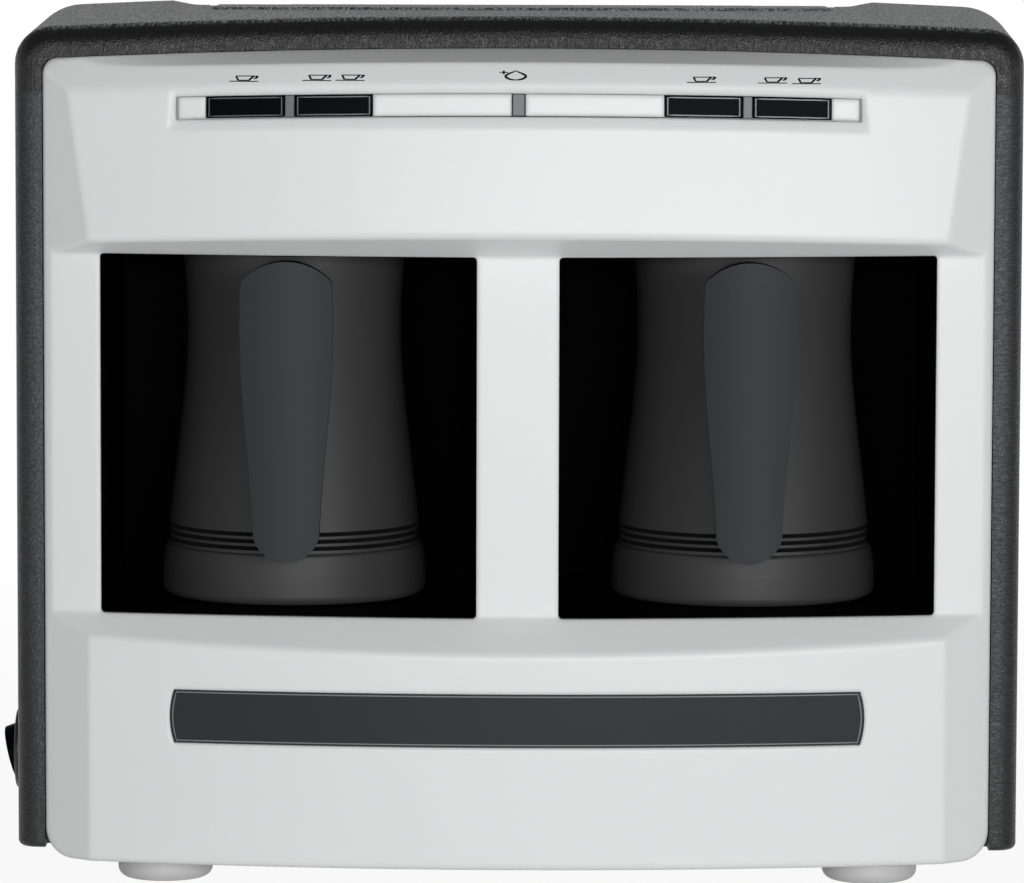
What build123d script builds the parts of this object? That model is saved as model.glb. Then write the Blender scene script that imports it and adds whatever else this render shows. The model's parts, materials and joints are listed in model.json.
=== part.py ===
from build123d import *
from math import cos, radians, sin, sqrt, tan
import os

# Coffee machine with two pots, in millimetres.
# +Z is up, the front faces -Y and X = 0 is the middle. The origin is on the table, under the middle:
# the machine is drawn with its feet reaching below zero and lifted by stand_lift as it is written.

# Overall body
body_depth = 218.0
ring_setback = 24.0             # front ring behind the foremost point of the pads
front_y = -body_depth / 2
back_y = body_depth / 2
ring_y = front_y + ring_setback
small_gap = 0.3                 # clearance between pieces that are dropped in or slide
reach = 400.0                   # cutting bodies go this far, past the whole machine
margin = 10.0                   # cutting bodies start this far off the surface they cut

# Hood: the dark shell over the top and both sides
hood_half_width = 148.4
hood_flare = 12.4               # the back is this much wider on each side
hood_back_half_width = hood_half_width + hood_flare
hood_bottom = 9.0
hood_top = 256.2
hood_back_top = 259.05
hood_crown_radius = 2900.0
hood_back_crown_radius = 2900.0
hood_corner = 10.8
hood_back_corner = 17.8
hood_bottom_corner = 7.5        # of the drawn outline, which is cut off level above it
hood_bottom_edge = 1.8
hood_wall = 3.0
roof_extra = 2.7                # the hood's top wall is this much thicker than its sides
ring_width = 8.0                # face of the front ring at the sides
ring_depth = 12.0
ring_edge_radius = 6.5
tray_half_width = 105.0         # shallow tray in the hood's top
tray_slope = 10.5
tray_start = 7.5                # behind the front ring
tray_ramp = 10.0
tray_front_floor = 254.0
tray_back_floor = 255.4
tray_edge_lift = 0.2

# Front panel: two bulging pads with a recessed band of windows between them
panel_gap = 0.2
panel_half_width = hood_half_width - ring_width - panel_gap
panel_bottom = 6.6
panel_top = 247.0
panel_top_corner = 4.2
panel_bottom_corner = 8.5
panel_edge_setback = 0.4        # panel's edge behind the ring's face
panel_depth = 14.5              # straight rim that runs back into the hood
panel_wall = 2.8
panel_edge_radius = 2.2
brow_radius = 6.0
panel_bottom_edge = 1.5
side_slope = 36.7
pad_radius = 575.0
pad_rise = 10.0                 # pads ahead of the window band
pad_tilt = 10.2
waist_radius = 761.0
lower_pad_top = 70.2
upper_pad_bottom = 192.8
pad_nose_z = 192.0
brow_setback = 3.5
brow_z = 237.0
facet_setback = 7.5
facet_z = 243.3
facet_sections = 7
facet_end_depth = 2.5           # the facet keeps at least this depth towards its ends

# Windows and the bays behind them
window_inner = 12.05
window_outer = panel_half_width - 17.0
window_bottom = 79.8
window_top = 186.3
window_lift = 0.3               # outer ends of both edges above the inner ends
window_corner = 1.2
bay_depth = 97.0                # behind the front ring
bay_back_y = ring_y + bay_depth
bay_wall = 2.0
bay_floor = window_bottom + 0.2
bay_ceiling = 188.0
bay_margin = 0.2

# Name band, left bare
band_half_width = panel_half_width - 37.9
band_bottom = 42.9
band_top = 58.8
band_end_bulge = 1.3
band_pocket = 1.8
band_recess = 0.4
band_gap = 0.15

# Button strip
strip_half_width = panel_half_width - 40.0
strip_bottom = 227.6
strip_top = 234.4
strip_recess = 1.3
strip_border_x = 2.0
strip_border_low = 2.8
strip_border_high = 2.4
strip_gap = 0.15
strip_end_gap = 0.6
strip_bottom_gap = 0.35
cap_thickness = 3.0
cap_edge_radius = 0.25
end_cap_length = 8.9
outer_button_length = 23.1
inner_button_length = 22.8
led_length = 2.9
middle_led_length = 3.8
led_depth = 7.0
outer_button_x = strip_half_width - end_cap_length
led_outer_x = outer_button_x - outer_button_length
led_inner_x = led_outer_x - led_length
bar_end_x = led_inner_x - inner_button_length
bar_start_x = middle_led_length / 2
button_spans = [
    (-outer_button_x, -led_outer_x),
    (-led_inner_x, -bar_end_x),
    (bar_end_x, led_inner_x),
    (led_outer_x, outer_button_x),
]
button_names = ["outer_left", "inner_left", "inner_right", "outer_right"]
led_spans = [(-led_outer_x, -led_inner_x), (-bar_start_x, bar_start_x), (led_inner_x, led_outer_x)]
end_cap_spans = [
    (strip_end_gap - strip_half_width, -outer_button_x),
    (outer_button_x, strip_half_width - strip_end_gap),
]
bar_spans = [(-bar_end_x, -bar_start_x), (bar_start_x, bar_end_x)]
button_travel = 1.2
stem_radius = 2.5
stem_gap = 0.15

# Button carrier and control board
carrier_front_y = front_y + 16.2
carrier_thickness = 2.0
carrier_half_width = strip_half_width + 2.8
carrier_bottom = 217.0
carrier_top = 235.2
board_y = carrier_front_y + 5.6
board_thickness = 1.6
board_half_width = strip_half_width
board_bottom = 209.0
board_top = 239.4
post_radius = 2.6
post_x = strip_half_width - 4.2
post_low_z = 221.0
post_high_z = 232.0
key_switch_size = 6.0
key_switch_depth = 1.6
chip_margin = 4.0
board_chips = [(-30.0, 18.0, 18.0, 3.0), (24.0, 28.0, 8.0, 9.0), (-70.0, 8.0, 12.0, 6.0)]

# Pots
pot_x = (window_inner + window_outer) / 2 + 0.7
pot_y = ring_y + 52.0
pot_bottom = bay_floor + 0.15
base_radius = 40.0
base_top_radius = 38.9
base_top = 95.4
base_wall = 2.2
base_foot_radius = 2.5
collar_radius = 37.9
collar_top = 102.1
neck_radius = 32.4
neck_z = 160.0
rim_radius = 33.8
rim_z = 185.0
pot_wall = 1.6
pot_floor = 102.5
groove_count = 3
groove_pitch = 2.1
groove_width = 1.1
groove_depth = 0.8
groove_first = 96.6
heater_radius = 30.0
heater_thickness = 4.0

# Pot handle
grip_front_y = front_y + 16.0
grip_thickness = 7.0
grip_top = 184.4
grip_bottom = 95.4
grip_top_width = 26.6
grip_wide = 27.4
grip_wide_z = 160.0
grip_bottom_width = 19.4
grip_crown = 3.0
core_thickness = 5.5
core_side_inset = 0.9
arm_width = 15.0
arm_top = 181.0
upper_arm_bottom = 168.0
lower_arm_top = 112.0
lower_arm_bottom = 98.5

# Pot connector and its socket
plug_half_width = 11.0
plug_bottom = pot_bottom + 3.2
plug_top = base_top - 1.4
plug_reach = 44.0
pin_radius = 1.4
pin_length = 10.0
pin_spacing = 6.0
socket_half_width = 14.0
socket_bottom = bay_floor + 1.0
socket_top = plug_top + 3.1
socket_depth = 18.0
socket_clearance = 0.2

# Spouts and level sensors in the bay ceilings
spout_y = pot_y + 3.0
spout_radius = 3.8
spout_bore = 2.0
spout_flange_radius = 7.0
spout_bottom = 186.9
spout_barb_top = 207.0
sensor_y = pot_y + 19.0
sensor_lens_radius = 5.0
sensor_body_radius = 7.5
sensor_height = 9.0

# Base plate and feet
base_plate_bottom = 8.0
base_plate_thickness = 2.6
base_plate_gap = 0.5
foot_radius = 14.3
foot_x = hood_half_width - 41.9
foot_front_y = ring_y + 31.0
foot_back_y = back_y - 23.0
foot_edge_radius = 3.2
stand_lift = 4.2                # heights here are drawn from this far above the table
vent_count = 9
vent_pitch = 9.0
vent_width = 3.6
vent_length = 42.0
vent_z = 28.0
vent_x = -58.0

# Rear panel
rear_panel_recess = 5.0
rear_panel_thickness = 2.8
rear_panel_gap = 0.4
boss_width = 13.5               # from the hood's wall inwards
boss_depth = 9.0
boss_height = 12.0
screw_inset = 8.6
rear_screw_heights = [30.0, 226.0]
base_screw_ys = [ring_y + 55.0, back_y - 49.0]
screw_radius = 1.6
screw_head_radius = 3.4
screw_head_height = 1.9
screw_cross_width = 0.9
screw_cross_half = 2.0
screw_cross_depth = 1.2
screw_head_edge = 0.8
screw_end_gap = 2.5

# Water tank, its cradle and lid
tank_half_width = 98.2
tank_depth = 46.5
tank_back_y = back_y - 2.0
tank_front_y = tank_back_y - tank_depth
tank_floor = 50.8
tank_top = 252.3
tank_wall = 2.2
tank_corner = 7.0
cradle_gap = 1.2
cradle_wall = 2.2
cradle_seat = 0.2
cradle_floor = 50.5
cradle_top = 252.6
lid_top = 255.8
lid_thickness = 3.2
lid_overhang = 0.6
lid_skirt_depth = 5.5
lid_skirt_gap = 0.9
lid_skirt_wall = 1.8
hinge_radius = 3.0
hinge_pin_radius = 1.5
hinge_clearance = 0.06
lid_knuckle_half = 60.0
tank_knuckle_length = 15.0
hinge_side_gap = 0.4

# Tank valve and the socket under it
valve_y = tank_back_y - 25.0
valve_radius = 7.5
valve_drop = 7.0
valve_wall = 1.6
valve_socket_radius = 11.5
valve_socket_gap = 0.4
valve_socket_bottom = 36.0
probe_radius = 1.4
plunger_radius = 1.8
plunger_head_radius = 4.6
spring_wire = 0.7
spring_radius = 3.4
spring_turns = 4
spring_height = 9.0

# Pump and hoses
pump_x = -62.0
pump_y = valve_y
pump_z = 27.0
pump_radius = 13.0
pump_length = 46.0
pump_head_length = 22.0
hose_radius = 3.0
hose_bore = 2.1
barb_radius = 2.0
hose_bend = 14.0
inlet_z = 41.0
riser_low_z = 27.0
riser_turn_z = 68.0
tee_z = 226.0
tee_arm = 9.0

# Power board
power_board_z = 20.0
power_board_thickness = 1.6
power_board_x = (14.0, 126.0)
power_board_y = (ring_y + 27.0, ring_y + 113.0)
standoff_radius = 3.4
standoff_inset = 7.0

# Rocker switch in the left side
switch_y = ring_y + 28.0
switch_z = 35.0
bezel_radius = 12.0
bezel_thickness = 1.6
bezel_edge_radius = 0.9
switch_body_radius = 10.4
switch_hole_gap = 0.25
switch_depth = 24.0
switch_socket_radius = 9.5
switch_socket_depth = 10.2
pivot_depth = 4.15              # behind the bezel's face
rocker_face = 6.2               # ahead of the pivot
rocker_back = 3.2
rocker_half_width = 8.8
rocker_half_height = 8.0
rocker_waist = 8.75
rocker_back_half = 6.5
rocker_edge_radius = 0.6
rocker_tilt = 13.6
trunnion_radius = 1.2
trunnion_half_length = 9.95
trunnion_gap = 0.15
terminal_spacing = 5.0
terminal_width = 4.8
terminal_thickness = 0.8
terminal_length = 8.0

# Cord inlet at the back
gland_x = hood_back_half_width - 48.8
gland_z = 26.0
gland_radius = 6.0
gland_flange_radius = 9.0
gland_bore = 3.4

waist_y = front_y + pad_rise
panel_edge_y = ring_y + panel_edge_setback
rim_back_y = panel_edge_y + panel_depth
rear_panel_y = back_y - rear_panel_recess
cradle_half_width = tank_half_width + cradle_gap + cradle_wall
cradle_front_y = tank_front_y - cradle_gap - cradle_wall
cradle_back_y = rear_panel_y
hinge_y = tank_back_y - hinge_radius - 0.2
hinge_z = lid_top - hinge_radius
riser_y = cradle_front_y - 17.1
pump_inlet_x = pump_x + pump_length / 2 - pump_head_length / 2


def block(x0, x1, y0, y1, z0, z1):
    centre = ((x0 + x1) / 2, (y0 + y1) / 2, (z0 + z1) / 2)
    return Pos(*centre) * Box(x1 - x0, y1 - y0, z1 - z0)


def upright(radius, x, y, z0, z1):
    return Pos(x, y, (z0 + z1) / 2) * Cylinder(radius, z1 - z0)


def along_y(radius, x, z, y0, y1):
    return Pos(x, (y0 + y1) / 2, z) * Rot(90, 0, 0) * Cylinder(radius, y1 - y0)


def along_x(radius, y, z, x0, x1):
    return Pos((x0 + x1) / 2, y, z) * Rot(0, 90, 0) * Cylinder(radius, x1 - x0)


def from_front(sketch, y0, y1):
    """Extrudes a sketch drawn as seen from the front, from y0 back to y1."""
    return extrude(Plane.XZ.offset(-y0) * sketch, amount=y1 - y0, dir=(0, 1, 0))


def mirrored(part):
    return mirror(part, about=Plane.YZ)


def arch(half_width, bottom, top, crown_radius, top_corner, bottom_corner):
    """Front outline with a gently crowned top edge and rounded corners."""
    shoulder = top - (crown_radius - sqrt(crown_radius**2 - half_width**2))
    sides = Polyline(
        (half_width, shoulder), (half_width, bottom), (-half_width, bottom), (-half_width, shoulder)
    )
    face = make_face(sides + ThreePointArc((-half_width, shoulder), (0, top), (half_width, shoulder)))
    middle = (bottom + top) / 2
    face = fillet([v for v in face.vertices() if v.Y > middle], top_corner)
    corners = [v for v in face.vertices() if abs(v.Y - bottom) < 0.01]
    return fillet(corners, bottom_corner)


def turned(points, tilt, radius, nose_y, nose_z, solid=True):
    """Turns a side outline about a leaning upright axis that lies radius behind the nose."""
    lean = radians(tilt)
    centre = (0, nose_y + radius * cos(lean), nose_z - radius * sin(lean))
    plane = Plane(origin=centre, x_dir=(0, cos(lean), -sin(lean)), z_dir=(1, 0, 0))
    local = []
    for y, z in points:
        back, up = y - centre[1], z - centre[2]
        local.append((up * sin(lean) - back * cos(lean), back * sin(lean) + up * cos(lean)))
    if solid:
        local = [(0, local[0][1])] + local + [(0, local[-1][1])]
    outline = plane * make_face(Polyline(*local, close=True))
    return revolve(outline, Axis(centre, (0, sin(lean), cos(lean))), 360)


def pad_face_y(z):
    """Front of the upper pad at the middle of the machine, at height z."""
    return front_y + brow_setback * (z - pad_nose_z) / (brow_z - pad_nose_z)


def pad_ring(z_low, z_high, depth_front, depth_back):
    """A slice of the upper pad's bulge, between two depths behind its face."""
    points = [
        (pad_face_y(z_low) + depth_front, z_low),
        (pad_face_y(z_low) + depth_back, z_low),
        (pad_face_y(z_high) + depth_back, z_high),
        (pad_face_y(z_high) + depth_front, z_high),
    ]
    return turned(points, pad_tilt, pad_radius, front_y, pad_nose_z, solid=False)


def strip_centre(x):
    """Height of the strip's middle line at x, which drops towards the ends."""
    sag = pad_radius - sqrt(pad_radius**2 - x**2)
    return (strip_bottom + strip_top) / 2 - sag * sin(radians(pad_tilt))


def strip_piece(span, depth_front, depth_back, gap_low=strip_bottom_gap, gap_high=strip_gap, gap_x=strip_gap):
    ring = pad_ring(strip_bottom + gap_low, strip_top - gap_high, depth_front, depth_back)
    return ring & block(span[0] + gap_x, span[1] - gap_x, front_y - margin, ring_y, 0, reach)


def panel_block(inset):
    """The front panel as a filled form, drawn in by inset on every side."""
    low, high = panel_bottom - margin, panel_top + margin
    face_y, band_y = front_y + inset, waist_y + inset
    ramp = 16.0
    lower_edge = lower_pad_top + pad_rise
    upper_edge = upper_pad_bottom - pad_rise * 0.63
    waist = turned([
        (band_y - ramp, low),
        (band_y - ramp, lower_edge - ramp),
        (band_y, lower_edge),
        (band_y, upper_edge),
        (band_y - ramp, upper_edge + ramp * 0.63),
        (band_y - ramp, high),
    ], 0, waist_radius - inset, band_y, 0)
    split = (lower_pad_top + upper_pad_bottom) / 2
    lower = turned([(face_y, low), (face_y, split + margin)], 0, pad_radius - inset, face_y, 0)
    slope_rise = (facet_setback - brow_setback) / (facet_z - brow_z)
    upper = turned([
        (face_y, split - margin),
        (face_y, pad_nose_z),
        (face_y + brow_setback, brow_z),
        (face_y + facet_setback + slope_rise * margin, facet_z + margin),
    ], pad_tilt, pad_radius - inset, face_y, pad_nose_z)
    pads = lower & block(-reach, reach, front_y - margin, rim_back_y + margin, low, split)
    pads += upper & block(-reach, reach, front_y - margin, rim_back_y + margin, split, high)
    half_width = panel_half_width - inset
    shape = arch(half_width, panel_bottom + inset, panel_top - inset, hood_crown_radius,
                 panel_top_corner, panel_bottom_corner)
    front = from_front(shape, front_y - margin, rim_back_y)
    corner_y = panel_edge_y + inset
    run = (corner_y - front_y + margin) / tan(radians(side_slope))
    slope = Polyline(
        (half_width, rim_back_y), (half_width, corner_y), (half_width - run, front_y - margin),
        (run - half_width, front_y - margin), (-half_width, corner_y), (-half_width, rim_back_y), close=True)
    plan = extrude(Pos(0, 0, low) * make_face(slope), amount=high - low)
    return (waist & plan) & (pads & front)


def facet_limit(inset):
    """Everything behind and under the top facet, which runs from the pad up to the front ring."""
    lean = radians(pad_tilt)
    sections = []
    for i in range(facet_sections):
        x = (2 * i / (facet_sections - 1) - 1) * (panel_half_width + panel_gap)
        sag = pad_radius - sqrt(pad_radius**2 - x**2)
        y = min(front_y + facet_setback + inset + sag * cos(lean), panel_edge_y + inset - facet_end_depth)
        z = facet_z - inset - sag * sin(lean)
        top = panel_top - inset - (hood_crown_radius - sqrt(hood_crown_radius**2 - x**2))
        past_y = panel_edge_y + inset + (panel_edge_y + inset - y) * 0.15
        past_z = top + (top - z) * 0.15
        outline = Polyline(
            (front_y - margin, panel_bottom - margin), (front_y - margin, z), (y, z), (past_y, past_z),
            (past_y, panel_top + margin), (rim_back_y + margin, panel_top + margin),
            (rim_back_y + margin, panel_bottom - margin), close=True)
        sections.append(Plane(origin=(x, 0, 0), x_dir=(0, 1, 0), z_dir=(1, 0, 0)) * make_face(outline))
    return loft(sections)


def edges_near(part, points):
    return [e for e in part.edges() if any((e.center() - Vector(*p)).length < 2 for p in points)]


def soften_panel(panel):
    """Rounds the long front edges of the pads: the leaning brow most, the bottom edge least."""
    panel = fillet(edges_near(panel, [(0, front_y + brow_setback, brow_z)]), brow_radius)
    sides = [e for e in panel.edges()
             if abs(e.center().X) > panel_half_width - 30 and e.length > 30 and e.center().Y < panel_edge_y - 4
             and abs(e.tangent_at(0.5).Z) > 0.8]
    panel = fillet(sides, panel_edge_radius)
    panel = fillet(edges_near(panel, [(0, front_y, lower_pad_top), (0, front_y, upper_pad_bottom)]),
                   panel_edge_radius)
    return fillet(edges_near(panel, [(0, front_y, panel_bottom)]), panel_bottom_edge)


def window_sketch(side):
    outline = Polyline(
        (side * window_inner, window_bottom), (side * window_outer, window_bottom + window_lift),
        (side * window_outer, window_top + window_lift), (side * window_inner, window_top), close=True)
    face = make_face(outline)
    return fillet(face.vertices(), window_corner)


def band_sketch(grow):
    low, high = band_bottom - grow, band_top + grow
    end = band_half_width - band_end_bulge + grow
    middle = (low + high) / 2
    edges = Line((-end, high), (end, high))
    edges += ThreePointArc((end, high), (end + band_end_bulge, middle), (end, low))
    edges += Line((end, low), (-end, low))
    edges += ThreePointArc((-end, low), (-end - band_end_bulge, middle), (-end, high))
    return make_face(edges)


def pad_drum(depth):
    """The lower pad's bulge as an upright drum, depth behind its face."""
    return upright(pad_radius - depth, 0, front_y + pad_radius, 0, lower_pad_top + 10)


def make_front_panel():
    panel = soften_panel(panel_block(0)) & facet_limit(0)
    panel -= panel_block(panel_wall) & facet_limit(panel_wall)
    for side in (-1, 1):
        panel -= from_front(window_sketch(side), front_y - margin, rim_back_y)
    panel -= from_front(band_sketch(0), front_y - margin, ring_y) - pad_drum(band_pocket)
    panel -= strip_pocket()
    panel -= strip_piece((-strip_half_width, strip_half_width), 0, margin, 0, 0, 0)
    return panel


def strip_pocket():
    """Shallow pocket round the button strip, with bevelled edges on all four sides."""
    low, high = strip_bottom - strip_border_low, strip_top + strip_border_high
    rise_low, rise_high = strip_recess / strip_border_low, strip_recess / strip_border_high
    points = [
        (pad_face_y(low) - rise_low * 2, low - 2), (pad_face_y(strip_bottom) + strip_recess, strip_bottom),
        (pad_face_y(strip_top) + strip_recess, strip_top), (pad_face_y(high) - rise_high * 2, high + 2),
    ]
    ring = turned(points, pad_tilt, pad_radius, front_y, pad_nose_z, solid=False)
    half = strip_half_width
    face = pad_face_y(strip_centre(half)) + pad_radius - sqrt(pad_radius**2 - half**2)
    floor = face + strip_recess
    slope = strip_border_x / strip_recess
    front = face - margin
    run = slope * (floor - front)
    plan = Polyline((-half - run, front), (-half, floor), (-half, ring_y), (half, ring_y), (half, floor),
                    (half + run, front), close=True)
    return ring & extrude(make_face(plan), amount=reach)


def make_name_band():
    plate = from_front(band_sketch(-band_gap), front_y - margin, ring_y)
    return (plate & pad_drum(band_recess)) - pad_drum(band_pocket)


def make_button(span):
    middle = (span[0] + span[1]) / 2
    cap = strip_piece(span, strip_recess + 0.1, strip_recess + cap_thickness)
    stem_z = strip_centre(middle)
    depth = pad_radius - sqrt(pad_radius**2 - middle**2)
    start = pad_face_y(stem_z) + strip_recess + cap_thickness / 2 + depth
    end = board_y - key_switch_depth - button_travel - small_gap
    return softened(cap) + along_y(stem_radius, middle, stem_z, start, end)


def softened(cap):
    """Rounds the front edges of a strip piece."""
    front = cap.faces().sort_by(Axis.Y)[0]
    return fillet(front.edges(), cap_edge_radius)


def make_strip_trim(spans, depth):
    return Compound([softened(strip_piece(span, strip_recess + 0.1, strip_recess + depth)) for span in spans])


def make_button_carrier():
    back = carrier_front_y + carrier_thickness
    plate = block(-carrier_half_width, carrier_half_width, carrier_front_y, back, carrier_bottom, carrier_top)
    for span in button_spans:
        middle = (span[0] + span[1]) / 2
        plate += along_y(stem_radius + 1.6, middle, strip_centre(middle), carrier_front_y, back + 1.2)
        plate -= along_y(stem_radius + stem_gap, middle, strip_centre(middle), carrier_front_y - 1, back + 2)
    for span in led_spans:
        plate -= block(span[0] - 0.6, span[1] + 0.6, carrier_front_y - 1, back + 1,
                       strip_bottom - 0.6, strip_top + 0.6)
    for x in (-post_x, post_x):
        for z in (post_low_z, post_high_z):
            plate += along_y(post_radius, x, z, back - 0.5, board_y)
    return plate


def make_control_board():
    board = block(
        -board_half_width, board_half_width, board_y, board_y + board_thickness, board_bottom, board_top
    )
    half = key_switch_size / 2
    for span in button_spans:
        middle = (span[0] + span[1]) / 2
        centre = strip_centre(middle)
        board += block(
            middle - half, middle + half, board_y - key_switch_depth, board_y, centre - half, centre + half
        )
    back = board_y + board_thickness
    for x0, length, height, depth in board_chips:
        low = board_bottom + chip_margin
        board += block(x0, x0 + length, back - 0.5, back + depth, low, low + height)
    return board


def hood_section(y, inset, bottom, drop=0.0):
    """Outline of the hood at depth y, drawn in by inset, with its top lowered by drop as well."""
    share = (y - ring_y) / (back_y - ring_y)
    half_width = hood_half_width + hood_flare * share - inset
    top = hood_top + (hood_back_top - hood_top) * share - inset - drop
    curve = (1 - share) / hood_crown_radius + share / hood_back_crown_radius
    corner = hood_corner + (hood_back_corner - hood_corner) * share - inset
    shape = arch(half_width, bottom, top, 1 / curve, corner, hood_bottom_corner)
    return Plane.XZ.offset(-y) * shape


def hood_top_z(x, y):
    share = (y - ring_y) / (back_y - ring_y)
    radius = 1 / ((1 - share) / hood_crown_radius + share / hood_back_crown_radius)
    return hood_top + (hood_back_top - hood_top) * share - (radius - sqrt(radius**2 - x**2))


def make_hood():
    open_low = hood_bottom - margin * 3
    hood = loft([hood_section(ring_y, 0, open_low), hood_section(back_y, 0, open_low)], ruled=True)
    front_edges = [e for e in hood.edges() if abs(e.bounding_box().max.Y - ring_y) < 0.01]
    hood = fillet(front_edges, ring_edge_radius)
    hood -= block(-reach, reach, -reach, reach, open_low - margin, hood_bottom)
    low_edges = [e for e in hood.edges().filter_by(lambda e: abs(e.center().Z - hood_bottom) < 0.01)
                 if abs(e.center().X) > hood_half_width - 1 and e.length > margin]
    hood = fillet(low_edges, hood_bottom_edge)
    cavity_y = ring_y + ring_depth
    hood -= loft([hood_section(cavity_y, hood_wall, open_low, roof_extra),
                  hood_section(back_y + 1, hood_wall, open_low, roof_extra)], ruled=True)
    hole = arch(panel_half_width + panel_gap, open_low, panel_top + panel_gap, hood_crown_radius,
                panel_top_corner + panel_gap, panel_bottom_corner)
    hood -= from_front(hole, ring_y - margin, cavity_y + margin)
    tray = [
        tray_section(ring_y + tray_start, hood_top + 1),
        tray_section(ring_y + tray_ramp, tray_front_floor),
        tray_section(back_y + 1, tray_back_floor),
    ]
    hood -= loft(tray, ruled=True)
    notch = cradle_half_width + cradle_seat
    hood -= block(-notch, notch, cradle_front_y - cradle_seat, back_y + margin, hood_top / 2, reach)
    hood -= along_x(switch_body_radius + switch_hole_gap, switch_y, switch_z, -reach, margin - hood_half_width)
    hood -= along_x(bezel_radius + switch_hole_gap, switch_y, switch_z, -reach, switch_seat_x())
    for side in (-1, 1):
        for z in rear_screw_heights:
            hood += hood_boss(side, z)
        for y in base_screw_ys:
            hood += base_boss(side, y)
    return hood


def tray_section(y, floor):
    """Space over the tray's floor at depth y, with a soft ramp at both sides."""
    end = tray_half_width + tray_slope
    top = max(hood_top_z(end, y), floor) + tray_edge_lift
    ramp = Spline([(tray_half_width, floor), (end, top)], tangents=[(1, 0), (1, 0.05)])
    cover = Polyline((end, top), (end, reach), (-end, reach), (-end, top))
    outline = make_face([Line((-tray_half_width, floor), (tray_half_width, floor)), ramp, cover,
                         mirror(ramp, about=Plane.YZ)])
    return Plane.XZ.offset(-y) * outline


def hood_wall_x(y):
    """Inner face of the hood's side wall at depth y."""
    share = (y - ring_y) / (back_y - ring_y)
    return hood_half_width + hood_flare * share - hood_wall


def hood_boss(side, z):
    """Screw boss on the hood's side wall that the rear panel is screwed to."""
    end = rear_panel_y - rear_panel_thickness - 0.05
    wall = hood_wall_x(end - boss_depth)
    ends = sorted((side * (wall - boss_width), side * (wall + 1)))
    boss = block(ends[0], ends[1], end - boss_depth, end, z - boss_height / 2, z + boss_height / 2)
    return boss - along_y(screw_radius, side * screw_x(rear_panel_y), z, end - boss_depth + 1.5, end + 1)


def screw_x(y):
    """Distance of a casing screw at depth y from the middle."""
    return hood_wall_x(y) - screw_inset


def base_boss(side, y):
    """Screw boss on the hood's side wall that the base plate is screwed to."""
    low = base_plate_bottom + base_plate_thickness + 0.05
    wall = hood_wall_x(y - boss_height / 2)
    ends = sorted((side * (wall - boss_width), side * (wall + 1)))
    boss = block(ends[0], ends[1], y - boss_height / 2, y + boss_height / 2, low, low + boss_depth)
    return boss - upright(screw_radius, side * screw_x(y), y, low - 1, low + boss_depth - 1.5)


def make_casing_screws():
    screws = []
    for side in (-1, 1):
        for z in rear_screw_heights:
            place = Pos(side * screw_x(rear_panel_y), rear_panel_y, z) * Rot(-90, 0, 0)
            screws.append(place * make_screw(rear_panel_thickness + boss_depth - screw_end_gap))
        for y in base_screw_ys:
            place = Pos(side * screw_x(y), y, base_plate_bottom) * Rot(180, 0, 0)
            screws.append(place * make_screw(base_plate_thickness + boss_depth - screw_end_gap))
    return Compound(screws)


def make_screw(length):
    """Pan-head screw with a cross recess: its head stands on Z = 0 and its shank points down."""
    head = upright(screw_head_radius, 0, 0, 0, screw_head_height)
    head = fillet(head.edges().sort_by(Axis.Z)[-1], screw_head_edge)
    screw = head + upright(screw_radius, 0, 0, -length, 0.5)
    low, high = screw_head_height - screw_cross_depth, screw_head_height + 1
    half = screw_cross_width / 2
    screw -= block(-screw_cross_half, screw_cross_half, -half, half, low, high)
    return screw - block(-half, half, -screw_cross_half, screw_cross_half, low, high)


def make_base_plate():
    top = base_plate_bottom + base_plate_thickness
    front = rim_back_y + 0.2
    back = rear_panel_y - rear_panel_thickness - 0.1
    half_front = hood_wall_x(front) - base_plate_gap
    half_back = hood_wall_x(back) - base_plate_gap
    outline = Polyline(
        (half_front, front), (half_back, back), (-half_back, back), (-half_front, front), close=True
    )
    plate = extrude(Pos(0, 0, base_plate_bottom) * make_face(outline), amount=base_plate_thickness)
    middle_y = (power_board_y[0] + power_board_y[1]) / 2
    for i in range(vent_count):
        x = (power_board_x[0] + power_board_x[1]) / 2 + (i - (vent_count - 1) / 2) * vent_pitch
        slot = Pos(x, middle_y, base_plate_bottom - 1) * Rot(0, 0, 90) * SlotOverall(vent_length, vent_width)
        plate -= extrude(slot, amount=base_plate_thickness + 2)
    for x, y in standoff_places():
        plate += upright(standoff_radius, x, y, top - 0.5, power_board_z)
    for side in (-1, 1):
        for y in base_screw_ys:
            plate -= upright(screw_radius + 0.2, side * screw_x(y), y, base_plate_bottom - 1, top + 1)
    for x in (pump_x - pump_length / 4, pump_x + pump_length / 4):
        plate += block(x - 3, x + 3, pump_y - 10, pump_y + 10, top - 0.5, pump_z - pump_radius * 0.6)
    saddle = along_x(pump_radius + 0.05, pump_y, pump_z, pump_x - pump_length, pump_x + pump_length)
    return plate - saddle


def standoff_places():
    xs = (power_board_x[0] + standoff_inset, power_board_x[1] - standoff_inset)
    ys = (power_board_y[0] + standoff_inset, power_board_y[1] - standoff_inset)
    return [(x, y) for x in xs for y in ys]


def make_foot(x, y):
    foot = upright(foot_radius, x, y, -stand_lift, base_plate_bottom)
    return fillet(foot.edges().sort_by(Axis.Z)[0], foot_edge_radius)


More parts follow.
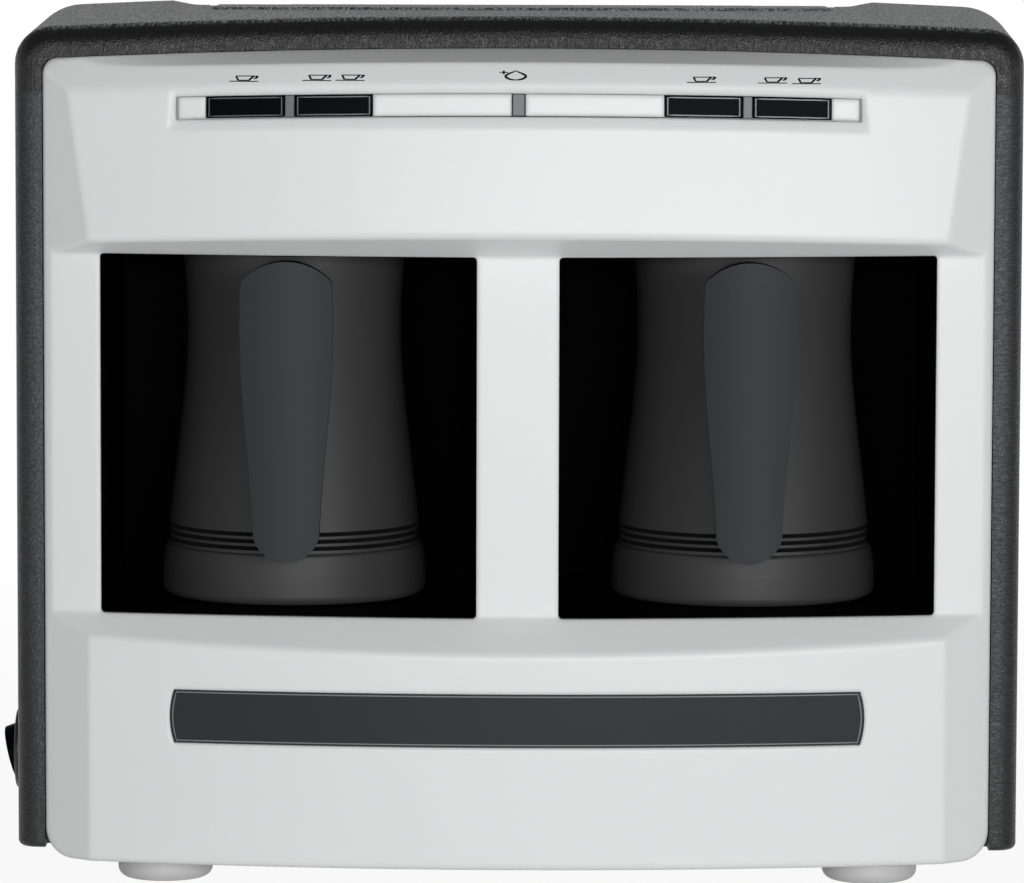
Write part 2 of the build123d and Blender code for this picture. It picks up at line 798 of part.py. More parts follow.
def make_rear_panel():
    front = rear_panel_y - rear_panel_thickness
    panel = loft([hood_section(front, hood_wall + rear_panel_gap, hood_bottom - 1.6, roof_extra),
                  hood_section(rear_panel_y, hood_wall + rear_panel_gap, hood_bottom - 1.6, roof_extra)],
                 ruled=True)
    notch = cradle_half_width + cradle_seat
    panel -= block(-notch, notch, front - 1, rear_panel_y + 1, cradle_floor - cradle_wall - cradle_seat, reach)
    for side in (-1, 1):
        for z in rear_screw_heights:
            panel -= along_y(screw_radius + 0.2, side * screw_x(rear_panel_y), z, front - 1, rear_panel_y + 1)
    for i in range(vent_count):
        x = vent_x + (i - (vent_count - 1) / 2) * vent_pitch
        slot = Pos(x, vent_z) * Rot(0, 0, 90) * SlotOverall(vent_length / 2, vent_width)
        panel -= from_front(slot, front - 1, rear_panel_y + 1)
    return panel - along_y(gland_radius, gland_x, gland_z, front - 1, rear_panel_y + 1)


def make_cord_gland():
    flange = along_y(gland_flange_radius, gland_x, gland_z, rear_panel_y, rear_panel_y + 2)
    barrel = along_y(gland_radius, gland_x, gland_z, rear_panel_y - rear_panel_thickness - 6, back_y - 0.2)
    nut_end = rear_panel_y - rear_panel_thickness
    nut_outline = RegularPolygon(gland_flange_radius, 6)
    nut = from_front(Pos(gland_x, gland_z) * nut_outline, nut_end - 4, nut_end)
    gland = flange + barrel + nut
    return gland - along_y(gland_bore, gland_x, gland_z, rear_panel_y - 20, back_y + 1)


def make_bay_liner(side):
    """Black box behind a window, open to the front, with room for the pot's plug at the back."""
    inner = window_inner - bay_margin
    outer = window_outer + bay_margin
    shell = block(inner - bay_wall, outer + bay_wall, waist_y - margin, bay_back_y + bay_wall,
                  bay_floor - bay_wall, bay_ceiling + bay_wall)
    shell -= block(inner, outer, waist_y - margin, bay_back_y, bay_floor, bay_ceiling)
    drum = upright(waist_radius - panel_wall - 0.1, 0, waist_y + waist_radius, 0, reach)
    shell &= drum
    gap = socket_clearance
    shell -= block(pot_x - socket_half_width - gap, pot_x + socket_half_width + gap, bay_back_y - 1,
                   bay_back_y + bay_wall + 1, socket_bottom - gap, socket_top + gap)
    shell -= upright(spout_radius + 0.1, pot_x, spout_y, bay_ceiling - 1, bay_ceiling + bay_wall + 1)
    shell -= upright(sensor_lens_radius + 0.1, pot_x, sensor_y, bay_ceiling - 1, bay_ceiling + bay_wall + 1)
    return shell if side > 0 else mirrored(shell)


def make_connector_socket(side):
    start = bay_back_y - 0.7
    body = block(pot_x - socket_half_width, pot_x + socket_half_width, start, start + socket_depth,
                 socket_bottom, socket_top)
    flange_y = bay_back_y + bay_wall
    body += block(pot_x - socket_half_width - 4, pot_x + socket_half_width + 4, flange_y, flange_y + 2,
                  socket_bottom - 2, socket_top + 4)
    for i in (-1, 0, 1):
        body -= along_y(pin_radius + 0.2, pot_x + i * pin_spacing, (plug_bottom + plug_top) / 2,
                        start - 1, start + pin_length + 2)
    return body if side > 0 else mirrored(body)


def make_spout(side):
    top = bay_ceiling + bay_wall
    spout = upright(spout_radius, pot_x, spout_y, spout_bottom, top + 2)
    spout += upright(spout_flange_radius, pot_x, spout_y, top, top + 2)
    spout += upright(barb_radius, pot_x, spout_y, top + 1, spout_barb_top)
    spout -= upright(barb_radius - 0.8, pot_x, spout_y, spout_bottom - 1, spout_barb_top + 1)
    spout -= Pos(pot_x, spout_y, spout_bottom + 1.5) * Cone(spout_bore + 0.8, barb_radius - 0.8, 3)
    return spout if side > 0 else mirrored(spout)


def make_level_sensor(side):
    top = bay_ceiling + bay_wall
    lens = upright(sensor_lens_radius, pot_x, sensor_y, bay_ceiling - 0.4, top)
    body = upright(sensor_body_radius, pot_x, sensor_y, top, top + sensor_height)
    body += block(pot_x - 5, pot_x + 5, sensor_y + 3, sensor_y + 10, top, top + 5)
    body += lens
    return body if side > 0 else mirrored(body)


def pot_side(grow):
    """Side line of the pot from its collar to its rim."""
    foot = (collar_radius + grow, collar_top)
    waist = (neck_radius + grow, neck_z)
    lip = (rim_radius + grow, rim_z)
    middle_radius = neck_radius + (collar_radius - neck_radius) * 0.5
    lower_middle = (middle_radius + grow, collar_top + (neck_z - collar_top) * 0.42)
    return Spline([foot, lower_middle, waist, lip], tangents=[(-0.1, 1), (0.12, 1)])


def turn_up(outline):
    """Turns a face drawn with radius and height about the pot's axis."""
    return revolve(Plane.XZ * outline, Axis.Z, 360)


def make_pot_body(side):
    outer_line = Polyline(
        (rim_radius, rim_z),
        (0, rim_z),
        (0, base_top + 0.1),
        (collar_radius, base_top + 0.1),
        (collar_radius, collar_top),
    )
    outer = turn_up(make_face(outer_line + pot_side(0)))
    inner_line = Polyline((rim_radius - pot_wall, rim_z), (0, rim_z), (0, collar_top),
                          (collar_radius - pot_wall, collar_top))
    inner = turn_up(make_face(inner_line + pot_side(-pot_wall)))
    inner -= upright(collar_radius, 0, 0, base_top, pot_floor)
    body = outer - inner
    for i in range(groove_count):
        low = groove_first + i * groove_pitch
        ring = upright(collar_radius + 2, 0, 0, low, low + groove_width)
        body -= ring - upright(collar_radius - groove_depth, 0, 0, low - 1, low + groove_width + 1)
    return Pos(side * pot_x, pot_y, 0) * body


def make_pot_base(side):
    outline = Polyline((0, pot_bottom), (base_radius, pot_bottom), (base_radius, pot_bottom + 9),
                       (base_top_radius, base_top), (0, base_top), close=True)
    base = turn_up(make_face(outline))
    base = fillet(base.edges().filter_by(GeomType.CIRCLE).sort_by(Axis.Z)[0], base_foot_radius)
    base = fillet(base.edges().filter_by(GeomType.CIRCLE).sort_by(Axis.Z)[-1], 1.0)
    base -= upright(base_top_radius - base_wall, 0, 0, pot_bottom + base_wall, base_top + 1)
    for angle in (30, 150, 270):
        rib = Rot(0, 0, angle) * block(heater_radius + 0.5, base_top_radius - base_wall + 0.5, -1, 1,
                                       pot_bottom + base_wall - 0.5, base_top)
        base += rib
    return Pos(side * pot_x, pot_y, 0) * base


def make_pot_heater(side):
    disc = upright(heater_radius, 0, 0, base_top + 0.1 - heater_thickness, base_top + 0.1)
    disc -= upright(6, 0, 0, base_top - heater_thickness - 1, base_top - 1.5)
    for x in (-8, 8):
        disc += upright(2.2, x, 14, base_top - heater_thickness - 5, base_top - heater_thickness + 1)
    return Pos(side * pot_x, pot_y, 0) * disc


def make_pot_plug(side):
    body = block(-plug_half_width, plug_half_width, base_radius - 10, plug_reach, plug_bottom, plug_top)
    body -= upright(base_radius, 0, 0, plug_bottom - 1, plug_top + 1)
    for i in (-1, 0, 1):
        middle = (plug_bottom + plug_top) / 2
        body += along_y(pin_radius, i * pin_spacing, middle, plug_reach - 1, plug_reach + pin_length)
    return Pos(side * pot_x, pot_y, 0) * body


def grip_sketch(inset):
    """Handle as seen from the front: widest near the top, arched top and round foot."""
    half_top = grip_top_width / 2 - inset
    half_wide = grip_wide / 2 - inset
    half_low = grip_bottom_width / 2 - inset
    shoulder = grip_top - 6.0
    foot = grip_bottom + half_low * 0.75
    right = Spline([(half_low, foot), (half_wide, grip_wide_z), (half_top, shoulder)],
                   tangents=[(0.04, 1), (-0.06, 1)])
    top = ThreePointArc((half_top, shoulder), (0, grip_top - inset * 0.3), (-half_top, shoulder))
    left = mirror(right, about=Plane.YZ)
    bottom = ThreePointArc((-half_low, foot), (0, grip_bottom + inset), (half_low, foot))
    return make_face([right, top, left, bottom])


def make_handle_grip(side):
    y = grip_front_y
    grip = from_front(grip_sketch(0), y - 5, y + grip_thickness)
    crown = (grip_wide**2 / 4 + grip_crown**2) / (2 * grip_crown)
    grip &= upright(crown, 0, y + crown, grip_bottom - 5, grip_top + 5)
    return Pos(side * pot_x, 0, 0) * grip


def make_handle_core(side):
    """Inner spine of the handle with an upper and a lower arm that reach the pot."""
    front = grip_front_y + grip_thickness
    spine = from_front(grip_sketch(core_side_inset), front, front + core_thickness)
    half = arm_width / 2
    core = spine
    for low, high in ((upper_arm_bottom, arm_top), (lower_arm_bottom, lower_arm_top)):
        core += block(-half, half, front + core_thickness - 1, pot_y - 20, low, high)
    line = Polyline((0, base_top), (collar_radius, base_top), (collar_radius, collar_top))
    close = Polyline((rim_radius, rim_z), (0, rim_z), (0, base_top))
    core -= Pos(0, pot_y, 0) * turn_up(make_face(line + pot_side(0) + close))
    return Pos(side * pot_x, 0, 0) * core


def make_tank_cradle():
    """Pocket that the tank drops into, with the valve socket under its floor."""
    half = cradle_half_width
    inner = half - cradle_wall
    front = cradle_front_y
    low = cradle_floor - cradle_wall
    shell = block(-half, half, front, cradle_back_y, low, cradle_top)
    shell -= block(-inner, inner, front + cradle_wall, cradle_back_y + 1, cradle_floor, cradle_top + 1)
    shell += upright(valve_socket_radius, 0, valve_y, valve_socket_bottom, cradle_floor - 0.5)
    shell -= upright(valve_radius + valve_socket_gap, 0, valve_y, valve_socket_bottom + 2, cradle_floor + 1)
    shell += upright(probe_radius, 0, valve_y, valve_socket_bottom + 1, plunger_bottom() - small_gap)
    shell += along_x(barb_radius, valve_y, inlet_z, -valve_socket_radius - 9, -valve_socket_radius + 1)
    return shell - along_x(barb_radius - 0.8, valve_y, inlet_z, -valve_socket_radius - 10, -valve_radius)


def plunger_bottom():
    return tank_floor - valve_drop + 1.0


def make_tank_body():
    half = tank_half_width
    tank = block(-half, half, tank_front_y, tank_back_y, tank_floor, tank_top)
    tank = fillet(tank.edges().filter_by(Axis.Z), tank_corner)
    cavity = block(-half + tank_wall, half - tank_wall, tank_front_y + tank_wall, tank_back_y - tank_wall,
                   tank_floor + tank_wall, tank_top + 5)
    cavity = fillet(cavity.edges().filter_by(Axis.Z), tank_corner - tank_wall)
    tank -= cavity
    end = lid_knuckle_half + tank_knuckle_length + 1
    space = hinge_radius + 0.4
    tank -= block(-end, end, hinge_y - space, tank_back_y + 1, hinge_z - space, tank_top + 1)
    for side in (-1, 1):
        knuckle = (side * (lid_knuckle_half + hinge_side_gap), side * (lid_knuckle_half + tank_knuckle_length))
        low, high = sorted(knuckle)
        tank += along_x(hinge_radius, hinge_y, hinge_z, low, high)
        tank += block(low, high, hinge_y, tank_back_y - 0.2, hinge_z - hinge_radius - 4, hinge_z)
    tank -= along_x(hinge_pin_radius, hinge_y, hinge_z, -end, end)
    return tank - upright(valve_radius - valve_wall, 0, valve_y, tank_floor - 1, tank_floor + 5)


def make_tank_lid():
    low = lid_top - lid_thickness
    half = tank_half_width + lid_overhang
    lid = block(-half, half, tank_front_y - lid_overhang, hinge_y - hinge_radius - 0.4, low, lid_top)
    lid = fillet(lid.edges().filter_by(Axis.Z).sort_by(Axis.Y)[:2], tank_corner)
    lid = fillet(lid.faces().sort_by(Axis.Z)[-1].edges(), 0.8)
    gap = tank_wall + lid_skirt_gap
    x = tank_half_width - gap
    y0, y1 = tank_front_y + gap, hinge_y - hinge_radius - 3
    corner = tank_corner - tank_wall
    skirt = block(-x, x, y0, y1, low - lid_skirt_depth, low + 0.5)
    skirt = fillet(skirt.edges().filter_by(Axis.Z), corner)
    inner = block(-x + lid_skirt_wall, x - lid_skirt_wall, y0 + lid_skirt_wall, y1 - lid_skirt_wall,
                  low - lid_skirt_depth - 1, low)
    skirt -= fillet(inner.edges().filter_by(Axis.Z), corner - lid_skirt_wall)
    lid += skirt
    knuckle_front = hinge_y - hinge_radius - 1
    lid += block(-lid_knuckle_half, lid_knuckle_half, knuckle_front, hinge_y, lid_top - 2.2, lid_top)
    lid += along_x(hinge_radius, hinge_y, hinge_z, -lid_knuckle_half, lid_knuckle_half)
    return lid - along_x(hinge_pin_radius + hinge_clearance, hinge_y, hinge_z, -reach, reach)


def make_hinge_pin():
    end = lid_knuckle_half + tank_knuckle_length
    return along_x(hinge_pin_radius, hinge_y, hinge_z, -end, end)


def make_valve_body():
    """Tube through the tank floor with a seat for the plunger's head."""
    low = tank_floor - valve_drop
    tube = upright(valve_radius, 0, valve_y, low, tank_floor)
    tube += upright(valve_radius - valve_wall, 0, valve_y, tank_floor, tank_floor + tank_wall + 4)
    tube -= upright(plunger_radius + 1.4, 0, valve_y, low - 1, tank_floor + tank_wall + 5)
    cage = tank_floor + tank_wall + 4
    for angle in range(0, 360, 90):
        leg = block(4.4, valve_radius - valve_wall, -1, 1, cage - 0.5, cage + spring_height + 6)
        tube += Pos(0, valve_y, 0) * Rot(0, 0, angle) * leg
    roof = cage + spring_height + 6
    tube += upright(valve_radius - valve_wall, 0, valve_y, roof, roof + 1.6)
    return tube - upright(plunger_radius + 0.15, 0, valve_y, roof - 1, roof + 3)


def make_valve_plunger():
    seat = tank_floor + tank_wall + 4
    stem = upright(plunger_radius, 0, valve_y, plunger_bottom(), seat + spring_height + 8.5)
    return stem + upright(plunger_head_radius - 0.5, 0, valve_y, seat + 0.3, seat + 2.3)


def make_valve_spring():
    low = tank_floor + tank_wall + 6.3 + spring_wire / 2
    high = tank_floor + tank_wall + 4 + spring_height + 6 - spring_wire / 2
    coil = Helix(pitch=(high - low) / spring_turns, height=high - low, radius=spring_radius - spring_wire)
    path = Pos(0, valve_y, low) * coil
    section = Plane(origin=path @ 0, z_dir=path % 0) * Circle(spring_wire / 2)
    return sweep(section, path, is_frenet=True)


def make_pump():
    head_end = pump_x + pump_length / 2
    body = along_x(pump_radius, pump_y, pump_z, pump_x - pump_length / 2, head_end - pump_head_length)
    head = along_x(pump_radius - 2, pump_y, pump_z, head_end - pump_head_length, head_end)
    pump = fillet(body.edges().filter_by(GeomType.CIRCLE), 1.5) + head
    inlet_x = pump_inlet_x
    pump += upright(4.5, inlet_x, pump_y, pump_z, inlet_z)
    pump += along_x(barb_radius, pump_y, inlet_z, inlet_x, inlet_x + 14)
    pump += upright(4.5, inlet_x, pump_y, inlet_z - 4.5, inlet_z + 3)
    outlet_y = pump_y - pump_radius
    return pump + along_y(barb_radius, inlet_x, riser_low_z, outlet_y - 8, outlet_y + 5)


def hose_along(points, bend):
    path = FilletPolyline(*points, radius=bend)
    section = Plane(origin=path @ 0, z_dir=path % 0) * (Circle(hose_radius) - Circle(hose_bore))
    return sweep(section, path)


def make_inlet_hose():
    start, end = -valve_socket_radius - 0.2, pump_inlet_x + 4.7
    tube = along_x(hose_radius, valve_y, inlet_z, end, start)
    return tube - along_x(hose_bore, valve_y, inlet_z, end - 1, start + 1)


def make_riser_hose():
    start_y = pump_y - pump_radius - 0.3
    points = [(pump_inlet_x, start_y, riser_low_z), (pump_inlet_x, riser_y, riser_low_z),
              (0, riser_y, riser_turn_z), (0, riser_y, tee_z - tee_arm + 2)]
    return hose_along(points, hose_bend)


def make_hose_tee():
    tee = along_x(hose_radius + 1, riser_y, tee_z, -5, 5)
    tee += along_x(barb_radius, riser_y, tee_z, -5 - tee_arm, 5 + tee_arm)
    tee += upright(barb_radius, 0, riser_y, tee_z - tee_arm - 5, tee_z)
    tee -= along_x(barb_radius - 0.8, riser_y, tee_z, -6 - tee_arm, 6 + tee_arm)
    return tee - upright(barb_radius - 0.8, 0, riser_y, tee_z - tee_arm - 6, tee_z)


def make_spout_hose():
    points = [(5.3, riser_y, tee_z), (pot_x, riser_y, tee_z), (pot_x, spout_y, tee_z),
              (pot_x, spout_y, spout_barb_top - 8)]
    hose = hose_along(points, hose_bend)
    return Compound([hose, mirrored(hose)])


def make_power_board():
    return block(*power_board_x, *power_board_y, power_board_z, power_board_z + power_board_thickness)


def make_board_parts():
    top = power_board_z + power_board_thickness
    x0, y0 = power_board_x[0], power_board_y[0]
    parts = [block(x0 + 6 + i * 19, x0 + 22 + i * 19, y0 + 58, y0 + 78, top, top + 15) for i in range(2)]
    parts.append(block(x0 + 62, x0 + 98, y0 + 44, y0 + 76, top, top + 26))
    for i in range(3):
        parts.append(upright(5, x0 + 16 + i * 13, y0 + 42, top, top + 18))
    sink = block(x0 + 10, x0 + 50, y0 + 10, y0 + 13, top, top + 24)
    for i in range(7):
        sink += block(x0 + 11 + i * 6, x0 + 12.5 + i * 6, y0 + 12, y0 + 22, top, top + 24)
    parts.append(sink)
    strip = block(x0 + 66, x0 + 104, y0 + 6, y0 + 17, top, top + 12)
    for i in range(4):
        strip -= upright(1.8, x0 + 71 + i * 9.5, y0 + 11.5, top + 4, top + 13)
    parts.append(strip)
    return Compound(parts)


def switch_seat_x():
    """Flat seat for the switch's bezel, sunk into the flared side wall."""
    return -hood_wall_x(switch_y - bezel_radius) - hood_wall


def switch_face_x():
    return switch_seat_x() - bezel_thickness


def make_switch_body():
    face = switch_face_x()
    back = face + switch_depth
    pivot = face + pivot_depth
    bezel = along_x(bezel_radius, switch_y, switch_z, face, switch_seat_x() - 0.05)
    body = fillet(bezel.faces().sort_by(Axis.X)[0].edges(), bezel_edge_radius)
    body += along_x(switch_body_radius, switch_y, switch_z, face + bezel_thickness / 2, back)
    body -= along_x(switch_socket_radius, switch_y, switch_z, face - margin, face + switch_socket_depth)
    hole = trunnion_half_length + trunnion_gap
    body -= along_y(trunnion_radius + trunnion_gap, pivot, switch_z, switch_y - hole, switch_y + hole)
    for z in (switch_z - terminal_spacing, switch_z + terminal_spacing):
        body += block(back - 0.5, back + terminal_length, switch_y - terminal_width / 2,
                      switch_y + terminal_width / 2, z - terminal_thickness / 2, z + terminal_thickness / 2)
    return body


def make_switch_rocker():
    """Flat-faced rocker on two trunnions, drawn level and then tilted to its rest place."""
    outlines = [
        (-rocker_face, rocker_half_width, rocker_half_height),
        (0, rocker_half_width + 0.1, rocker_waist),
        (rocker_back, rocker_back_half, rocker_back_half),
    ]
    sections = [
        Plane(origin=(x, 0, 0), x_dir=(0, 1, 0), z_dir=(1, 0, 0))
        * make_face(Ellipse(half_y, half_z).edge())
        for x, half_y, half_z in outlines
    ]
    rocker = loft(sections, ruled=True)
    rocker = fillet(rocker.faces().sort_by(Axis.X)[0].edges(), rocker_edge_radius)
    rocker += along_y(trunnion_radius, 0, 0, -trunnion_half_length, trunnion_half_length)
    return Pos(switch_face_x() + pivot_depth, switch_y, switch_z) * Rot(0, -rocker_tilt, 0) * rocker


def build():
    parts = {
        "hood_shell": make_hood(),
        "front_panel": make_front_panel(),
        "name_band": make_name_band(),
        "strip_end_caps": make_strip_trim(end_cap_spans, cap_thickness),
        "strip_bars": make_strip_trim(bar_spans, cap_thickness),
        "led_windows": make_strip_trim(led_spans, led_depth),
        "button_carrier": make_button_carrier(),
        "control_board": make_control_board(),
        "base_plate": make_base_plate(),
        "casing_screws": make_casing_screws(),
        "rear_panel": make_rear_panel(),
        "cord_gland": make_cord_gland(),
        "tank_cradle": make_tank_cradle(),
        "tank_body": make_tank_body(),
        "tank_lid": make_tank_lid(),
        "lid_hinge_pin": make_hinge_pin(),
        "tank_valve_body": make_valve_body(),
        "tank_valve_plunger": make_valve_plunger(),
        "tank_valve_spring": make_valve_spring(),
        "water_pump": make_pump(),
        "pump_inlet_hose": make_inlet_hose(),
        "riser_hose": make_riser_hose(),
        "hose_tee": make_hose_tee(),
        "spout_hoses": make_spout_hose(),
        "power_board": make_power_board(),
        "board_parts": make_board_parts(),
        "switch_body": make_switch_body(),
        "switch_rocker": make_switch_rocker(),
    }
    for name, span in zip(button_names, button_spans):
        parts["button_" + name] = make_button(span)
    for x_name, x in (("left", -foot_x), ("right", foot_x)):
        for y_name, y in (("front", foot_front_y), ("back", foot_back_y)):
            parts["foot_" + y_name + "_" + x_name] = make_foot(x, y)
    for name, side in (("left", -1), ("right", 1)):
        parts["bay_liner_" + name] = make_bay_liner(side)
        parts["connector_socket_" + name] = make_connector_socket(side)
        parts["spout_" + name] = make_spout(side)
        parts["level_sensor_" + name] = make_level_sensor(side)
        parts["pot_body_" + name] = make_pot_body(side)
        parts["pot_base_" + name] = make_pot_base(side)
        parts["pot_heater_" + name] = make_pot_heater(side)
        parts["pot_plug_" + name] = make_pot_plug(side)
        parts["handle_core_" + name] = make_handle_core(side)
        parts["handle_grip_" + name] = make_handle_grip(side)
    return parts


os.makedirs("parts", exist_ok=True)
for node, part in build().items():
    export_step(Pos(0, 0, stand_lift) * part, "parts/" + node + ".step")
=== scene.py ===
import json
import math
import bpy
import bmesh
from mathutils import Matrix, Vector
from mathutils.bvhtree import BVHTree


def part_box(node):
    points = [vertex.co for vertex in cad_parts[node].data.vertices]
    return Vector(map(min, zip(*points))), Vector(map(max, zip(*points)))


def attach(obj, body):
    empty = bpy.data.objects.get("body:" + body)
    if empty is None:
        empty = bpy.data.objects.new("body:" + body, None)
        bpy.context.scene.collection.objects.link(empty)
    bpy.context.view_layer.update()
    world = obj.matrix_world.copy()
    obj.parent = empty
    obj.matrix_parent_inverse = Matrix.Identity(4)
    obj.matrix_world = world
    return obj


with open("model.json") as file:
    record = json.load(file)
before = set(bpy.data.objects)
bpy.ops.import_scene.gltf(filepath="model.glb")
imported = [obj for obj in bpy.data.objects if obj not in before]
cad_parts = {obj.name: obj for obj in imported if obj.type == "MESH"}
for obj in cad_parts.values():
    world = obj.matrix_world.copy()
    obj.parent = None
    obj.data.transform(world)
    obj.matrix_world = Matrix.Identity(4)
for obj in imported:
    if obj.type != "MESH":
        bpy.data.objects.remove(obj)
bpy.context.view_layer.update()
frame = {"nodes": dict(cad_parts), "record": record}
nodes = frame["nodes"]
print("frame loaded with", len(nodes), "nodes")

mm = 0.001


class Signal:
    # one output socket; sums and products of it become Math nodes

    def __init__(self, tree, socket):
        self.tree = tree
        self.socket = socket

    def calc(self, operation, *terms):
        return addNode(self.tree, "ShaderNodeMath", {"operation": operation}, dict(enumerate(terms)))

    def __add__(self, other):
        return self.calc("ADD", self, other)

    def __radd__(self, other):
        return self.calc("ADD", other, self)

    def __sub__(self, other):
        return self.calc("SUBTRACT", self, other)

    def __rsub__(self, other):
        return self.calc("SUBTRACT", other, self)

    def __mul__(self, other):
        return self.calc("MULTIPLY", self, other)

    def __rmul__(self, other):
        return self.calc("MULTIPLY", other, self)

    def __truediv__(self, other):
        return self.calc("DIVIDE", self, other)

    def __rtruediv__(self, other):
        return self.calc("DIVIDE", other, self)

    def below(self, limit):
        return self.calc("LESS_THAN", self, limit)

    def above(self, limit):
        return self.calc("GREATER_THAN", self, limit)

    def size(self):
        return self.calc("ABSOLUTE", self)


def addNode(tree, kind, settings=None, values=None, out=0):
    node = tree.nodes.new(kind)
    for key, value in (settings or {}).items():
        if key == "stops":
            ramp = node.color_ramp
            while len(ramp.elements) < len(value):
                ramp.elements.new(0.5)
            for element, (place, shade) in zip(ramp.elements, value):
                element.position = place
                element.color = (shade, shade, shade, 1)
        else:
            setattr(node, key, value)
    for key, value in (values or {}).items():
        socket = node.inputs[key]
        if isinstance(value, Signal):
            tree.links.new(value.socket, socket)
        else:
            socket.default_value = value
    return Signal(tree, node.outputs[out])


class Finish:
    # a Principled material that is filled in step by step

    def __init__(self, name, look):
        self.material = bpy.data.materials.new(name)
        self.material.use_nodes = True
        self.tree = self.material.node_tree
        self.shader = self.tree.nodes["Principled BSDF"]
        self.place = self.node("ShaderNodeTexCoord", out="Object")
        self.colour = (*look["colour"], 1)
        self.fix("Roughness", look["roughness"])
        self.fix("Base Color", self.colour)
        for socket, value in look.get("sockets", {}).items():
            self.fix(socket, value)

    def node(self, kind, settings=None, values=None, out=0):
        return addNode(self.tree, kind, settings, values, out)

    def fix(self, socket, value):
        self.shader.inputs[socket].default_value = value

    def feed(self, socket, signal):
        self.tree.links.new(signal.socket, self.shader.inputs[socket])

    def axes(self):
        split = self.tree.nodes.new("ShaderNodeSeparateXYZ")
        self.tree.links.new(self.place.socket, split.inputs[0])
        return [Signal(self.tree, socket) for socket in split.outputs]

    def stretched(self, stretch, place=None):
        return self.node("ShaderNodeVectorMath", {"operation": "MULTIPLY"}, {
            0: place or self.place, 1: stretch})

    def noise(self, scale, detail=2.0, rough=0.5, place=None):
        return self.node("ShaderNodeTexNoise", None, {
            "Vector": place or self.place, "Scale": scale, "Detail": detail, "Roughness": rough})

    def cells(self, scale, feature="DISTANCE_TO_EDGE", place=None):
        return self.node("ShaderNodeTexVoronoi", {"feature": feature}, {
            "Vector": place or self.place, "Scale": scale})

    def facing(self, axis):
        normal = self.node("ShaderNodeNewGeometry", out="Normal")
        return self.node("ShaderNodeSeparateXYZ", None, {0: normal}, out=axis)

    def ramp(self, value, start, end, low, high):
        return self.node("ShaderNodeMapRange", None, {
            "Value": value, "From Min": start, "From Max": end, "To Min": low, "To Max": high})

    def mixed(self, first, second, share):
        return self.node("ShaderNodeMix", {"data_type": "RGBA"}, {0: share, 6: first, 7: second}, out=2)

    def shade(self, share, darker, lighter):
        low = tuple(c * darker for c in self.colour[:3]) + (1,)
        high = tuple(min(c * lighter, 1) for c in self.colour[:3]) + (1,)
        return self.mixed(low, high, share)

    def bump(self, height, depth, edge=0.0):
        inputs = {"Height": height, "Distance": depth, "Strength": 1.0}
        if edge:  # moulded edges look rounded
            inputs["Normal"] = self.node("ShaderNodeBevel", {"samples": 8}, {"Radius": edge})
        self.feed("Normal", self.node("ShaderNodeBump", None, inputs))


def mouldedFinish(name, look):
    # even plastic: soft mottle in the colour, fine grain in gloss and relief
    finish = Finish(name, look)
    grain = finish.noise(look["grain"], 3.0, 0.6)
    mottle = finish.noise(look["mottle"], 3.0)
    finish.feed("Base Color", finish.shade(mottle, 1 - look["spread"], 1 + look["spread"]))
    finish.feed("Roughness", look["roughness"] + (grain - 0.5) * look["glossSpread"])
    finish.bump(grain, look["relief"] * mm, edge=look.get("edgeRadius", 0.0) * mm)
    return finish


def leatherFinish(name, look):
    # hood skin: fine zigzag wrinkles across the ring, with painted shade in their valleys and painted
    # highlight on their ridges, pebbles between them, pale specks on top that are a painted reflection
    finish = Finish(name, look)
    warp = finish.noise(look["warpScale"], 2.0)
    swayed = finish.node("ShaderNodeVectorMath", {"operation": "MULTIPLY_ADD"}, {
        0: finish.node("ShaderNodeCombineXYZ", None, {"X": warp, "Y": warp, "Z": warp}),
        1: (look["warp"] * mm,) * 3, 2: finish.place})

    def drawnOut(stretch, scale, rough):
        return finish.noise(scale, 3.0, rough, finish.stretched(stretch, swayed))

    def wrinkles(stretch):
        return drawnOut(stretch, look["wrinkleScale"], look["wrinkleRough"])

    x, y, z = finish.axes()
    high = z.above(look["topZ"] * mm)
    right = x.above(0.0)
    side = wrinkles(look["rightStretch"]) * right + wrinkles(look["leftStretch"]) * (1 - right)
    wrinkle = wrinkles(look["topStretch"]) * high + side * (1 - high)
    # the wrinkle tone follows the relief: painted shade in the valleys, painted highlight on the ridges
    ridge = finish.node("ShaderNodeValToRGB", {"stops": look["wrinkleStops"]}, {"Fac": wrinkle})
    sheenSpeck = finish.node("ShaderNodeValToRGB", {"stops": look["speckStops"]}, {
        "Fac": drawnOut(look["speckStretch"], look["speckScale"], look["speckRough"])})
    # painted light and shade by facing and place: darker on the rounded front edge (painted shade), lighter
    # where the surface faces the front and on the top (painted light), darker low down (painted shade)
    lying = finish.ramp(finish.facing("Z"), look["lyingFrom"], 1.0, 0.0, 1.0)
    front = finish.ramp(finish.facing("Y"), -look["flatFrom"], -1.0, 0.0, 1.0)
    # painted shade: darker towards the rounded front edge
    body = finish.ramp(y, look["edgeY"] * mm, look["bodyY"] * mm, look["edgeTone"], 1.0)
    paintedFront = front * (look["flatTone"] + high * (look["topFlatTone"] - look["flatTone"]))
    # painted shade: darker low down
    height = finish.ramp(z, look["lowZ"] * mm, look["highZ"] * mm, look["lowTone"], 1.0)
    grey = finish.node("ShaderNodeVectorMath", {"operation": "SCALE"}, {
        0: finish.shade(ridge, look["valley"], look["ridge"]),
        "Scale": (body + paintedFront) * (1 + lying * look["topTone"]) * height})
    # pale specks only where the surface faces up: a painted grazing reflection over the speck pattern
    sheenSpecks = sheenSpeck * lying * look["speckShare"]
    finish.feed("Base Color", finish.mixed(grey, (*look["speckColour"], 1), sheenSpecks))
    finish.feed("Roughness", look["roughness"] + (0.5 - ridge) * look["glossSpread"])
    seam = (z - look["seamZ"] * mm).size().below(look["seamHalf"] * mm) * x.size().above(look["seamX"] * mm)
    pebble = finish.cells(look["pebbleScale"], place=swayed)
    relief = wrinkle * look["wrinkleDepth"] + pebble * look["pebbleDepth"] - seam * look["seamDepth"]
    finish.bump(relief, look["relief"] * mm)
    return finish


